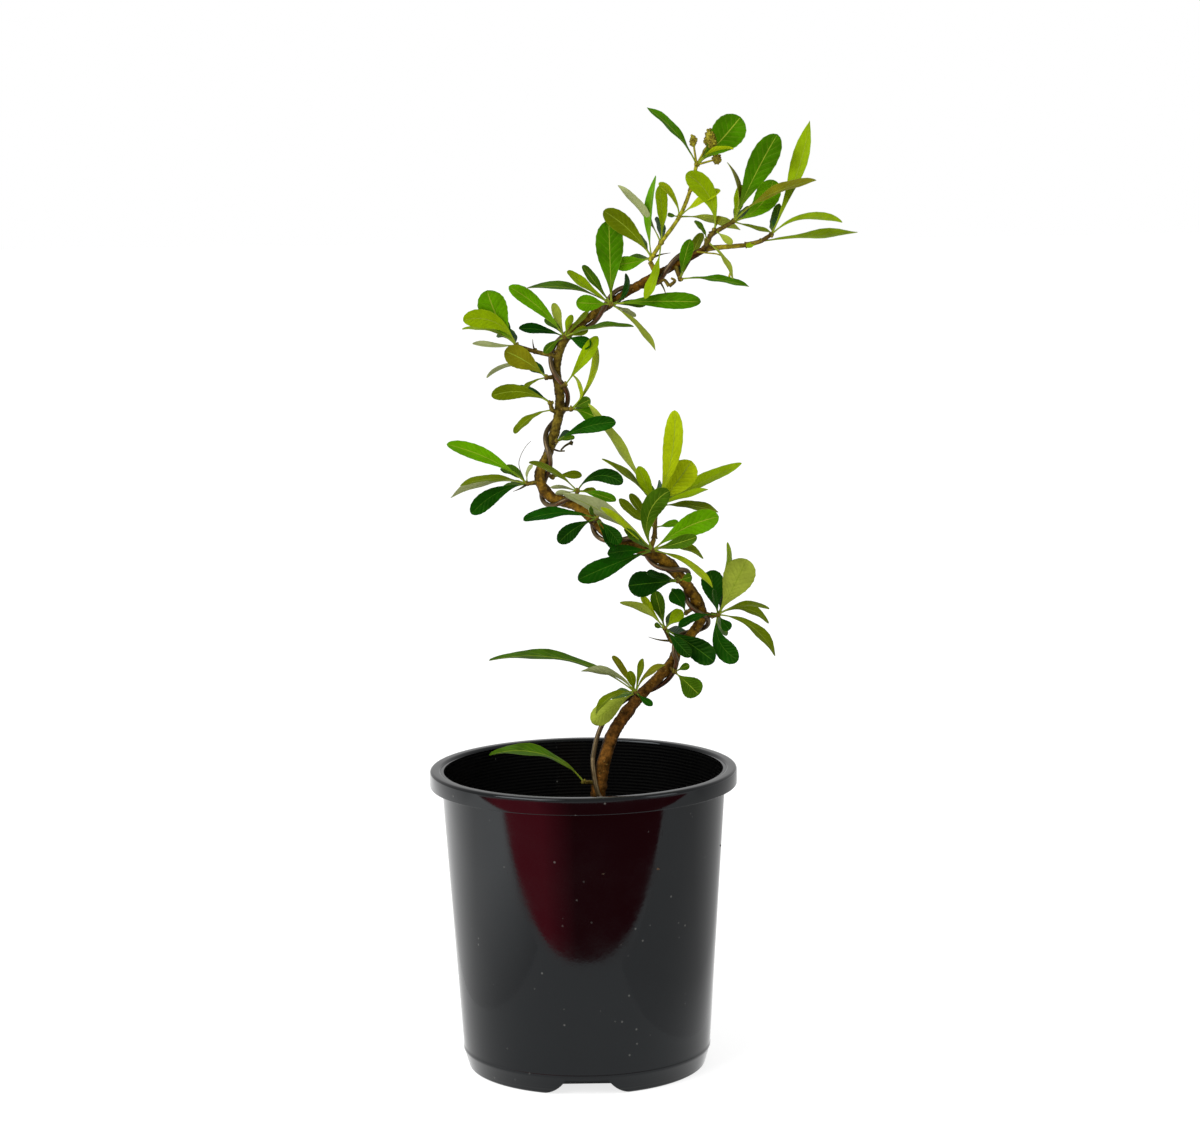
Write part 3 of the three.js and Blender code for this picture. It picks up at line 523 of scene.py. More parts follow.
def tube(mesh, centres, radii, sides, slot, relief=None):
    """A closed tube. Its UV place is how far along it is and how far round."""
    frames = side_frames(centres)
    verts = []
    uvs = []
    for k, centre in enumerate(centres):
        for i in range(sides):
            angle = 2 * math.pi * i / sides
            out = frames[k][0] * math.cos(angle) + frames[k][1] * math.sin(angle)
            radius = radii[k]
            if relief:
                radius += relief(centre, out, radius, k)
            verts.append(centre + out * radius)
            uvs.append((k / (len(centres) - 1), i / sides))
    verts.extend([centres[0].copy(), centres[-1].copy()])
    uvs.extend([(0, 0.5), (1, 0.5)])
    mesh.add(verts, ringed_faces(len(centres), sides), slot, uvs)


def uneven(depth, along, across):
    """A relief of soft lumps."""

    def relief(centre, out, *_):
        return depth * noise.noise(centre * along + out * across)

    return relief


def ball(mesh, centre, radii, slot, seed, rough, rings=7, sides=10):
    """A small uneven knob, closed at both poles."""
    verts = []
    for k in range(1, rings):
        down = math.pi * k / rings
        for i in range(sides):
            angle = 2 * math.pi * i / sides
            flat = math.sin(down)
            out = Vector((flat * math.cos(angle), flat * math.sin(angle), math.cos(down)))
            swell = 1 + rough * noise.noise(out * 2.3 + Vector((seed * 7.1, 0, 0)))
            verts.append(centre + Vector(out[i] * radii[i] for i in range(3)) * swell)
    verts.extend([centre + Vector((0, 0, radii[2])), centre - Vector((0, 0, radii[2]))])
    mesh.add(verts, [(face[0], *reversed(face[1:])) for face in ringed_faces(rings - 1, sides)], slot)


# A point of a profile that is nearer to the axis than this lies on it
ON_AXIS = 1e-6


def lathe(mesh, profile, sides):
    """Turns a profile of (radius, height), whose ends lie on the axis, about the Z axis."""
    verts = []
    starts = []
    for radius, height in profile:
        starts.append(len(verts))
        if radius < ON_AXIS:
            verts.append(Vector((0, 0, height)))
        else:
            for i in range(sides):
                angle = 2 * math.pi * (i + 0.5) / sides
                verts.append(Vector((radius * math.cos(angle), radius * math.sin(angle), height)))
    faces = []
    for a in range(len(profile) - 1):
        b = a + 1
        for i in range(sides):
            j = (i + 1) % sides
            if profile[a][0] < ON_AXIS:
                faces.append((starts[a], starts[b] + j, starts[b] + i))
            elif profile[b][0] < ON_AXIS:
                faces.append((starts[a] + i, starts[a] + j, starts[b]))
            else:
                faces.append((starts[a] + i, starts[a] + j, starts[b] + j, starts[b] + i))
    mesh.add(verts, faces, 0)


def arc(radius, height, edge, start, end, steps=5):
    """The points of a rounded corner of a profile, between two angles in degrees."""
    points = []
    for i in range(steps + 1):
        angle = math.radians(start + (end - start) * i / steps)
        points.append((radius + edge * math.cos(angle), height + edge * math.sin(angle)))
    return points


def settled(piece):
    """The piece with its modifiers applied, as a plain mesh that takes its place and its name."""
    graph = bpy.context.evaluated_depsgraph_get()
    data = bpy.data.meshes.new_from_object(piece.evaluated_get(graph), depsgraph=graph)
    name = piece.name
    bpy.data.objects.remove(piece)
    return linked(name, data)


def seeded(seed):
    """A repeatable draw between 0 and 1, by the same steps as in the part's source."""
    state = seed

    def draw():
        nonlocal state
        state = state * 16807 % 2147483647
        return state / 2147483647

    return draw


def lerp(a, b, t):
    return a + (b - a) * t


# Geometry Nodes


def new_tree(name, inputs):
    """A tree with geometry in and out, named numbers and a material, with their identifiers and outputs."""
    tree = bpy.data.node_groups.new(name, "GeometryNodeTree")
    tree.interface.new_socket("Geometry", in_out="INPUT", socket_type="NodeSocketGeometry")
    tree.interface.new_socket("Geometry", in_out="OUTPUT", socket_type="NodeSocketGeometry")
    sockets = {}
    for label, value in inputs.items():
        kind = "NodeSocketInt" if isinstance(value, int) else "NodeSocketFloat"
        socket = tree.interface.new_socket(label, in_out="INPUT", socket_type=kind)
        socket.default_value = value
        sockets[label] = socket.identifier
    socket = tree.interface.new_socket("Material", in_out="INPUT", socket_type="NodeSocketMaterial")
    sockets["Material"] = socket.identifier
    return tree, sockets, node(tree, "NodeGroupInput").outputs


def join_to(tree, given, placed):
    """The tree's own geometry together with the instances placed on it."""
    joined = node(tree, "GeometryNodeJoinGeometry")
    tree.links.new(given["Geometry"], joined.inputs[0])
    tree.links.new(placed.outputs[0], joined.inputs[0])
    return joined


def end_tree(tree, given, made, smooth):
    """Ends a tree: its instances become real, smooth where that is asked, and take the material."""
    made = node(tree, "GeometryNodeRealizeInstances", {0: made.outputs[0]})
    if smooth:
        made = node(tree, "GeometryNodeSetShadeSmooth", {"Geometry": made.outputs[0]})
    values = {"Geometry": made.outputs[0], "Material": given["Material"]}
    node(tree, "NodeGroupOutput", {0: node(tree, "GeometryNodeSetMaterial", values).outputs[0]})


def feed(tree, target, values):
    """Links or sets a node's inputs by name or number."""
    for key, value in values.items():
        socket = target.inputs[key]
        if isinstance(value, bpy.types.NodeSocket):
            tree.links.new(value, socket)
        else:
            socket.default_value = value


def node(tree, kind, values=None, **settings):
    """Adds a node, sets its properties and feeds its inputs."""
    made = tree.nodes.new(kind)
    for key, value in settings.items():
        setattr(made, key, value)
    feed(tree, made, values or {})
    return made


def grown(piece, tree, sockets, values):
    """Runs a tree on a piece with the values given by input name, and keeps the result as a plain mesh."""
    modifier = piece.modifiers.new(tree.name, "NODES")
    modifier.node_group = tree
    for label, value in values.items():
        modifier[sockets[label]] = value
    return settled(piece)


# Effects, each built once and placed in its materials with their own values


def kind_of(label):
    """The kind of an effect's input or output: a name that ends in Color is a colour."""
    return "NodeSocketColor" if label.endswith("Color") else "NodeSocketFloat"


def effect(name, inputs, outputs):
    """A shader node group with named inputs, their defaults, and named outputs."""
    group = bpy.data.node_groups.new(name, "ShaderNodeTree")
    for label, value in inputs.items():
        socket = group.interface.new_socket(label, in_out="INPUT", socket_type=kind_of(label))
        socket.default_value = value
    for label in outputs:
        group.interface.new_socket(label, in_out="OUTPUT", socket_type=kind_of(label))
    return group, group.nodes.new("NodeGroupInput").outputs, group.nodes.new("NodeGroupOutput")


def maths(tree, operation, a, b=0.0):
    return node(tree, "ShaderNodeMath", {0: a, 1: b}, operation=operation).outputs[0]


def times(tree, a, b):
    return maths(tree, "MULTIPLY", a, b)


def plus(tree, a, b):
    return maths(tree, "ADD", a, b)


def minus(tree, a, b):
    return maths(tree, "SUBTRACT", a, b)


def blend_of(tree, factor, a, b, way="MIX"):
    made = node(tree, "ShaderNodeMix", {0: factor, 6: a, 7: b}, data_type="RGBA", blend_type=way)
    return made.outputs[2]


def stretch(tree, value, low, high, to_low=0.0, to_high=1.0):
    """Reads a value between two bounds as a value between two others, held at the ends."""
    made = node(tree, "ShaderNodeMapRange", {0: value, 1: low, 2: high, 3: to_low, 4: to_high}, clamp=True)
    return made.outputs[0]


def object_place(tree):
    return node(tree, "ShaderNodeTexCoord").outputs["Object"]


def axis_distance(tree, place):
    """How far a separated place is from the Z axis."""
    across = node(tree, "ShaderNodeCombineXYZ", {0: place.outputs[0], 1: place.outputs[1]})
    return node(tree, "ShaderNodeVectorMath", {0: across.outputs[0]}, operation="LENGTH").outputs["Value"]


def noise_of(tree, place, scale, detail, roughness=0.5):
    values = {"Vector": place, "Scale": scale, "Detail": detail, "Roughness": roughness}
    return node(tree, "ShaderNodeTexNoise", values).outputs["Fac"]


def mottle_effect():
    """Soft patches and fine grain that shift a colour, roughness and height."""
    inputs = {
        "Color": (0.5, 0.5, 0.5, 1), "Patch Color": (0.3, 0.3, 0.3, 1), "Patch Scale": 60.0,
        "Patch Share": 0.5, "Grain Scale": 900.0, "Grain": 0.2, "Roughness": 0.5, "Roughness Spread": 0.1,
    }
    group, given, out = effect("Mottle", inputs, ["Color", "Roughness", "Height"])
    place = object_place(group)
    patches = noise_of(group, place, given["Patch Scale"], 3.0, 0.55)
    grain = noise_of(group, place, given["Grain Scale"], 4.0, 0.65)
    mask = times(group, stretch(group, patches, 0.38, 0.66), given["Patch Share"])
    base = blend_of(group, mask, given["Color"], given["Patch Color"])
    offset = minus(group, grain, 0.5)
    lift = plus(group, times(group, times(group, offset, given["Grain"]), 2.0), 1.0)
    tint = node(group, "ShaderNodeCombineColor", {0: lift, 1: lift, 2: lift}).outputs[0]
    colour = blend_of(group, 1.0, base, tint, "MULTIPLY")
    rough = plus(group, given["Roughness"], times(group, offset, given["Roughness Spread"]))
    height = plus(group, times(group, patches, 0.4), grain)
    feed(group, out, {"Color": colour, "Roughness": rough, "Height": height})
    return group


def vein_effect():
    """A leaf's side veins, pale foot and margin by its UV map: x runs from foot to tip, y across it."""
    inputs = {
        "Color": (0.1, 0.2, 0.02, 1), "Vein Color": (0.3, 0.4, 0.1, 1), "Vein Share": 0.3, "Veins": 11.0,
        "Slant": 0.34, "Foot Share": 0.45, "Edge Share": 0.25,
    }
    group, given, out = effect("Leaf veins", inputs, ["Color", "Height"])
    uv = node(group, "ShaderNodeUVMap", uv_map="UVMap").outputs[0]
    parts = node(group, "ShaderNodeSeparateXYZ", {0: uv})
    aside = maths(group, "ABSOLUTE", minus(group, parts.outputs[1], 0.5))
    slanted = times(group, maths(group, "POWER", aside, 0.8), given["Slant"])
    run = minus(group, parts.outputs[0], slanted)
    wobble = noise_of(group, object_place(group), 130.0, 2.0)
    bend = times(group, minus(group, wobble, 0.5), 0.05)
    phase = times(group, plus(group, run, bend), given["Veins"])
    wave = maths(group, "ABSOLUTE", minus(group, maths(group, "FRACT", phase), 0.5))
    line = stretch(group, wave, 0.0, 0.16, 1.0, 0.0)
    fading = stretch(group, aside, 0.12, 0.46, 1.0, 0.15)
    mask = times(group, line, fading)
    veined = times(group, mask, given["Vein Share"])
    foot = times(group, stretch(group, parts.outputs[0], 0.1, 0.4, 1.0, 0.0), given["Foot Share"])
    edge = times(group, stretch(group, aside, 0.46, 0.495), given["Edge Share"])
    share = maths(group, "MAXIMUM", maths(group, "MAXIMUM", veined, foot), edge)
    colour = blend_of(group, share, given["Color"], given["Vein Color"])
    swell = minus(group, times(group, wave, 0.9), times(group, mask, 0.4))
    feed(group, out, {"Color": colour, "Height": swell})
    return group


def dust_effect():
    """Fine pale specks and faint smears for moulded plastic."""
    inputs = {
        "Color": (0, 0, 0, 1), "Dust Color": (0.3, 0.29, 0.27, 1), "Speck Scale": 260.0, "Specks": 0.4,
        "Smears": 0.03, "Roughness": 0.2,
    }
    group, given, out = effect("Dust", inputs, ["Color", "Roughness", "Height"])
    place = object_place(group)
    cells = node(group, "ShaderNodeTexVoronoi", {"Vector": place, "Scale": given["Speck Scale"]})
    chosen = node(group, "ShaderNodeSeparateColor", {0: cells.outputs["Color"]}).outputs[0]
    picked = stretch(group, chosen, 0.93, 0.97)
    near = stretch(group, cells.outputs["Distance"], 0.08, 0.2, 1.0, 0.0)
    speck = times(group, times(group, picked, near), given["Specks"])
    smear = stretch(group, noise_of(group, place, 34.0, 8.0, 0.7), 0.42, 0.7)
    film = times(group, smear, given["Smears"])
    share = maths(group, "MAXIMUM", speck, film)
    colour = blend_of(group, share, given["Color"], given["Dust Color"])
    rough = plus(group, given["Roughness"], times(group, smear, 0.07))
    height = plus(group, times(group, noise_of(group, place, 420.0, 3.0), 0.6), times(group, speck, 0.1))
    feed(group, out, {"Color": colour, "Roughness": rough, "Height": height})
    return group


EFFECTS = {}


def place_effect(tree, name, values):
    """Places a shared effect in a material with its own values, and gives its outputs."""
    makers = {"Mottle": mottle_effect, "Leaf veins": vein_effect, "Dust": dust_effect}
    if name not in EFFECTS:
        EFFECTS[name] = makers[name]()
    return node(tree, "ShaderNodeGroup", values, node_tree=EFFECTS[name]).outputs


def mottled(tree, colour, patch, patches, grains, roughness):
    """The mottle effect: patches and grains each have a scale and a share, and roughness has its spread."""
    values = {
        "Color": colour, "Patch Color": patch, "Patch Scale": patches[0], "Patch Share": patches[1],
        "Grain Scale": grains[0], "Grain": grains[1], "Roughness": roughness[0],
        "Roughness Spread": roughness[1],
    }
    return place_effect(tree, "Mottle", values)


def new_material(name):
    """A material with its Principled shader, and the node tree that it stands in."""
    material = bpy.data.materials.new(name)
    material.use_nodes = True
    shader = material.node_tree.nodes["Principled BSDF"]
    return material, material.node_tree, shader


def dress(tree, shader, looks, height, strength, distance):
    """Feeds a shader's inputs and bumps its normal by a height."""
    bump = node(tree, "ShaderNodeBump", {"Height": height, "Strength": strength, "Distance": distance})
    feed(tree, shader, {**looks, "Normal": bump.outputs[0]})


def rgba(colour):
    return (colour[0], colour[1], colour[2], 1.0)


def scaled(colour, by):
    return rgba([channel * by for channel in colour[:3]])


def mixed(a, b, t):
    return rgba([lerp(a[i], b[i], t) for i in range(3)])


# Tints of the shine, which keep the white surround from greying leaves, bark and plastic
LEAF_SHINE = (0.55, 1.0, 0.12, 1.0)
BARK_SHINE = (1.0, 0.75, 0.2, 1.0)
PLASTIC_SHINE = (0.9, 0.96, 1.0, 1.0)


def leaf_material(name, colour, deepened, vein, vein_share, roughness, specular):
    """A leaf face: patches of a shade deepened by a factor, under faint side veins, over fine grain."""
    material, tree, shader = new_material("leaf_" + name)
    light = scaled(colour, 1.15)
    deep = scaled(colour, deepened)
    base, rough, grain = mottled(tree, light, deep, (95.0, 0.8), (700.0, 0.25), (roughness, 0.15))
    values = {"Color": base, "Vein Color": rgba(vein), "Vein Share": vein_share}
    values.update({"Foot Share": 0.4, "Edge Share": 0.3})
    veined, ribs = place_effect(tree, "Leaf veins", values)
    looks = {"Base Color": veined, "Roughness": rough}
    looks.update({"Specular IOR Level": specular, "Specular Tint": LEAF_SHINE})
    dress(tree, shader, looks, plus(tree, ribs, times(tree, grain, 0.5)), 0.5, 0.0005)
    return material


PORE_COLOUR = (0.3, 0.19, 0.05)


def bark_material(name, levels, patch, specular=0.12):
    """Young bark in thin streaks and pale pores, with painted shade where it turns away from the eye.
    Levels are pairs of a height in metres and its colour.
    """
    material, tree, shader = new_material(name)
    place = object_place(tree)
    height = node(tree, "ShaderNodeSeparateXYZ", {0: place}).outputs[2]
    low = levels[0][0]
    high = levels[-1][0]
    ramp = node(tree, "ShaderNodeValToRGB", {0: stretch(tree, height, low, high)})
    stops = ramp.color_ramp.elements
    stops[0].color = rgba(levels[0][1])
    stops[1].color = rgba(levels[-1][1])
    for level, colour in levels[1:-1]:
        stops.new((level - low) / (high - low)).color = rgba(colour)
    streaks = (170.0, 0.95)
    base, rough, grain = mottled(tree, ramp.outputs[0], rgba(patch), streaks, (520.0, 1.7), (0.6, 0.25))
    pores = node(tree, "ShaderNodeTexVoronoi", {"Vector": place, "Scale": 420.0})
    pore = stretch(tree, pores.outputs["Distance"], 0.1, 0.3, 1.0, 0.0)
    kept = node(tree, "ShaderNodeSeparateColor", {0: pores.outputs["Color"]}).outputs[1]
    spot = times(tree, pore, stretch(tree, kept, 0.5, 0.65))
    pale = blend_of(tree, times(tree, spot, 0.5), base, rgba(PORE_COLOUR))
    # Painted shade: the bark darkens towards half its patch colour as it turns away from the eye
    facing = node(tree, "ShaderNodeLayerWeight", {"Blend": 0.4}).outputs["Facing"]
    painted_edge_shade = blend_of(tree, stretch(tree, facing, 0.15, 0.8, 0.0, 0.88), pale, scaled(patch, 0.5))
    looks = {"Base Color": painted_edge_shade, "Roughness": rough}
    looks.update({"Specular IOR Level": specular, "Specular Tint": BARK_SHINE})
    dress(tree, shader, looks, plus(tree, grain, times(tree, spot, 1.4)), 0.8, 0.0006)
    return material


# Settings that a user would change


def colour_setting(name, description, default, most=1):
    return bpy.props.FloatVectorProperty(
        name=name, description=description, default=default, size=3, subtype="COLOR", min=0, max=most
    )


def share_setting(name, description, default, most=1):
    return bpy.props.FloatProperty(
        name=name, description=description, default=default, min=0, max=most, subtype="FACTOR"
    )


def length_setting(name, description, default):
    return bpy.props.FloatProperty(
        name=name, description=description, default=default, unit="LENGTH", subtype="DISTANCE"
    )


def count_setting(name, description, default, least=0, most=1000):
    return bpy.props.IntProperty(name=name, description=description, default=default, min=least, max=most)


def number_setting(name, description, default, least=0, most=200000):
    return bpy.props.FloatProperty(name=name, description=description, default=default, min=least, max=most)


class FirethornPotSettings(bpy.types.PropertyGroup):
    """The nursery pot."""

    sides: count_setting("Sides", "How many flats stand for the round wall", 120, 24, 240)
    colour: colour_setting("Plastic", "Colour of the moulded plastic", (0.0008, 0.0008, 0.001))
    roughness: share_setting("Roughness", "How blurred the plastic's shine is", 0.07)
    dust: share_setting("Dust", "How much dust lies on the plastic", 0.003)


class FirethornSoilSettings(bpy.types.PropertyGroup):
    """The bark mix in the pot."""

    chips: number_setting("Chips", "How many chips lie on each square metre", 90000.0, 1000)
    chip_size: length_setting("Chip size", "Length of a large chip", 0.0075)
    seed: count_setting("Seed", "Changes how the chips lie", 7)


class FirethornBarkSettings(bpy.types.PropertyGroup):
    """The trunk and its boughs."""

    foot: colour_setting("Foot", "Colour of the bark just over the soil", (0.15, 0.059, 0.01))
    middle: colour_setting("Middle", "Colour of the bark between the two lower bends", (0.17, 0.088, 0.006))
    neck: colour_setting("Neck", "Colour of the bark on the upright neck", (0.135, 0.098, 0.011))
    top: colour_setting("Top", "Colour of the bark near the tip", (0.11, 0.046, 0.003))
    relief: length_setting("Relief", "Height of the bark's ridges", 0.00024)


class FirethornWireSettings(bpy.types.PropertyGroup):
    """The training wire."""

    radius: length_setting("Radius", "Half the wire's thickness", WIRE["radius"] * MM)
    sides: count_setting("Sides", "Flats round the wire", 12, 6, 32)
    colour: colour_setting("Anodising", "Colour of the bronze coat", (0.07, 0.046, 0.018))


class FirethornLeafSettings(bpy.types.PropertyGroup):
    """The foliage."""

    thickness: length_setting("Thickness", "Thickness of a blade beside its rib", 0.00042)
    wave: share_setting("Wave", "How far the margin waves, as a share of the width", 0.045, 0.2)
    tint: colour_setting("Tint", "Multiplies the shade of every leaf", (1.0, 1.0, 1.0), 2)
    veins: share_setting("Veins", "How much the side veins show", 0.11)
    specular: share_setting("Shine", "How strongly the upper face mirrors its surroundings", 0.06)


class FirethornStageSettings(bpy.types.PropertyGroup):
    """The floor, lights and camera."""

    sky: number_setting("Sky", "How strongly the white surround lights the plant", 0.68)
    key: number_setting("Key light", "Power of the light at the left, in watts", 42.0)
    fill: number_setting("Fill light", "Power of the light at the right, in watts", 7.0)
    lens: number_setting("Lens", "Focal length of the camera in millimetres", 102.45, 20, 300)


# Pot and soil


def inner_radius(level):
    """The radius of the inside of the pot's wall."""
    rise = POT["height"] - POT["rimHeight"] - POT["lowHeight"]
    slope = (POT["underRimRadius"] - POT["lowRadius"]) / rise
    return POT["lowRadius"] + (level - POT["lowHeight"]) * slope - POT["wall"]


def room_profile():
    """The hollow of the pot, a little past its rim."""
    low = POT["lowHeight"] + POT["edge"]
    top = POT["height"] + 1
    corner = POT["footRadius"] - POT["wall"] - POT["edge"]
    return [
        (0, POT["floor"]), (corner, POT["floor"]),
        *arc(corner, POT["floor"] + POT["edge"], POT["edge"], -80, 0, 3),
        (inner_radius(low), low), (inner_radius(top), top), (0, top),
    ]


# Where the wall's rings of vertices lie, from the foot ridge to the rim
WALL_RINGS = (0, 0.006, 0.25, 0.5, 0.75, 0.994, 1)
# The foot ridge's points: how far out of the wall and how far above its own level they lie
RIDGE = [(-0.3, -1.5), (0.12, -0.8), (0.2, 0), (0.1, 0.5)]
# How thick the rolled rim's top is, and the round at the bottom of its skirt
RIM_TOP = 2.4
SKIRT_ROUND = 0.45


def pot_profile():
    """The pot's outer form, as a solid."""
    height = POT["height"]
    rim_foot = height - POT["rimHeight"]
    rim = POT["rimRadius"]
    edge = POT["edge"]
    low = POT["lowRadius"]
    under = POT["underRimRadius"]
    skirt = rim - POT["wall"]
    ridge = POT["lowHeight"]
    return [
        (0, 0),
        *arc(POT["footRadius"] - edge, edge, edge, -90, -10, 4),
        *[(low + out, ridge + up) for out, up in RIDGE],
        *[(lerp(low, under, t), lerp(ridge + 1, rim_foot + 2, t)) for t in WALL_RINGS],
        (under, height - RIM_TOP),
        (skirt - edge, height - RIM_TOP),
        (skirt, height - RIM_TOP - edge),
        (skirt, rim_foot + 0.3),
        (skirt + 0.3, rim_foot),
        *arc(rim - SKIRT_ROUND, rim_foot + SKIRT_ROUND, SKIRT_ROUND, -90, 0, 3),
        *arc(rim - edge, height - edge, edge, 0, 90),
        *arc(rim - POT["lipWidth"] + edge, height - edge, edge, 90, 165),
        (0, height - edge - 0.2),
    ]


# How many points each hollowed side of a notch has after its first, and how far it is hollowed
NOTCH_STEPS = 8
NOTCH_HOLLOW = 8


def notch_cutter(grow, turn):
    """One drain notch's hollow, a trapezium with hollowed sides run in from the pot's side."""
    foot = NOTCH["footWidth"] / 2 + grow
    roof = NOTCH["roofWidth"] / 2 + grow
    top = NOTCH["height"] + grow
    side = []
    for i in range(NOTCH_STEPS + 1):
        t = i / NOTCH_STEPS
        x = (1 - t) ** 2 * foot + 2 * t * (1 - t) * (foot - NOTCH_HOLLOW) + t * t * roof
        side.append((x, 2 * t * (1 - t) + t * t * top))
    outline = [(-foot - 1, -1), (foot + 1, -1), *side, *[(-x, z) for x, z in reversed(side)]]
    count = len(outline)
    ends = (-POT["rimRadius"] - 1, -NOTCH["inner"] + grow)
    verts = [Matrix.Rotation(turn, 3, "Z") @ Vector((x, y, z)) for y in ends for x, z in outline]
    faces = [tuple(range(count)), tuple(reversed(range(count, 2 * count)))]
    faces += [(i + count, (i + 1) % count + count, (i + 1) % count, i) for i in range(count)]
    mesh = Mesh()
    mesh.add(verts, faces, 0)
    return mesh.finish("notch_cutter", [])


def cut_away(piece, cutters):
    """Takes the cutters out of a piece and removes them."""
    for cutter in cutters:
        modifier = piece.modifiers.new("cut", "BOOLEAN")
        modifier.operation = "DIFFERENCE"
        modifier.solver = "MANIFOLD"
        modifier.object = cutter
    made = settled(piece)
    for cutter in cutters:
        bpy.data.objects.remove(cutter)
    return made


# The middle of the pot's wall: its radius at the floor in metres, and how much it widens with its height
WALL_MIDDLE = {"radius": 0.0662, "slope": 0.0651}
WORN_PLASTIC = (0.0065, 0.0065, 0.006)


def pot_material(settings):
    """Black moulded plastic with fine rings inside, dust, specks and hairline scratches."""
    material, tree, shader = new_material("black_plastic")
    values = {"Color": rgba(settings.colour), "Smears": settings.dust, "Roughness": settings.roughness}
    base, rough, grain = place_effect(tree, "Dust", {**values, "Specks": 0.22})
    place = node(tree, "ShaderNodeSeparateXYZ", {0: object_place(tree)})
    wall = plus(tree, times(tree, place.outputs[2], WALL_MIDDLE["slope"]), WALL_MIDDLE["radius"])
    inside = stretch(tree, minus(tree, wall, axis_distance(tree, place)), 0.0, 0.0005)
    values = {"Vector": object_place(tree), "Scale": 170.0, "Distortion": 1.2, "Detail": 2.0}
    rings = node(tree, "ShaderNodeTexWave", values, wave_type="BANDS", bands_direction="Z").outputs["Fac"]
    ringed = times(tree, times(tree, rings, inside), 0.7)
    drawn_out = {"Vector": object_place(tree), "Rotation": (0.2, 0.9, 0.4), "Scale": (1, 1, 0.06)}
    turned = node(tree, "ShaderNodeMapping", drawn_out).outputs[0]
    scored = times(tree, stretch(tree, noise_of(tree, turned, 900.0, 1.0), 0.74, 0.78), 0.5)
    worn = times(tree, stretch(tree, rings, 0.2, 0.9), inside)
    looks = {"Base Color": blend_of(tree, worn, base, rgba(WORN_PLASTIC)), "Roughness": rough}
    looks.update({"Specular IOR Level": 0.28, "Specular Tint": PLASTIC_SHINE})
    dress(tree, shader, looks, plus(tree, plus(tree, grain, ringed), scored), 0.07, 0.0003)
    return material


class OBJECT_OT_firethorn_pot(bpy.types.Operator):
    """Makes the pot's thin shell with its rolled rim, foot ridge and three drain notches"""

    bl_idname = "object.firethorn_pot"
    bl_label = "Pot"

    def execute(self, context):
        settings = context.scene.firethorn_pot
        turns = [2 * math.pi * i / NOTCH["count"] for i in range(NOTCH["count"])]
        outside = Mesh()
        lathe(outside, pot_profile(), settings.sides)
        inside = Mesh()
        lathe(inside, room_profile(), settings.sides)
        roofs = [notch_cutter(NOTCH["roof"], turn) for turn in turns]
        room = cut_away(inside.finish("pot_room", []), roofs)
        notches = [notch_cutter(0, turn) for turn in turns]
        shell = cut_away(outside.finish("pot_shell", []), [*notches, room])
        shell.data.materials.clear()
        shell.data.materials.append(pot_material(settings))
        shell.data.polygons.foreach_set("material_index", [0] * len(shell.data.polygons))
        shell.data.polygons.foreach_set("use_smooth", [True] * len(shell.data.polygons))
        shell.data.set_sharp_from_angle(angle=math.radians(32))
        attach(shell, ROOT)
        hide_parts("pot")
        return {"FINISHED"}


# How far the fine soil lies under the soil's level, how far it stays from the pot's wall, and the width of
# its margin that stays bare of chips
SOIL_SUNK = 1.6
SOIL_GAP = 0.4
BARE_MARGIN = 3
# The soil's face falls into this many rings, and the round into this many sides
SOIL_RINGS = 14
SOIL_SIDES = 72


def soil_material():
    """Moist composted bark: each chip's place picks its brown, from nearly black to tan."""
    material, tree, shader = new_material("bark_mix")
    place = object_place(tree)
    warp = node(tree, "ShaderNodeTexNoise", {"Vector": place, "Scale": 190.0, "Detail": 2.0})
    values = {0: warp.outputs["Color"], 1: (0.006, 0.006, 0.006), 2: place}
    moved = node(tree, "ShaderNodeVectorMath", values, operation="MULTIPLY_ADD")
    cells = node(tree, "ShaderNodeTexVoronoi", {"Vector": moved.outputs[0], "Scale": 210.0})
    pick = node(tree, "ShaderNodeSeparateColor", {0: cells.outputs["Color"]}).outputs[0]
    ramp = node(tree, "ShaderNodeValToRGB", {0: pick})
    stops = ramp.color_ramp.elements
    stops[0].color = (0.008, 0.005, 0.003, 1)
    stops[1].color = (0.2, 0.12, 0.06, 1)
    stops.new(0.45).color = (0.03, 0.017, 0.01, 1)
    stops.new(0.8).color = (0.075, 0.042, 0.022, 1)
    patch = rgba((0.02, 0.012, 0.008))
    base, rough, grain = mottled(tree, ramp.outputs[0], patch, (60.0, 0.5), (1500.0, 0.9), (0.8, 0.25))
    looks = {"Base Color": base, "Roughness": rough, "Specular IOR Level": 0.25}
    dress(tree, shader, looks, grain, 0.9, 0.0012)
    return material


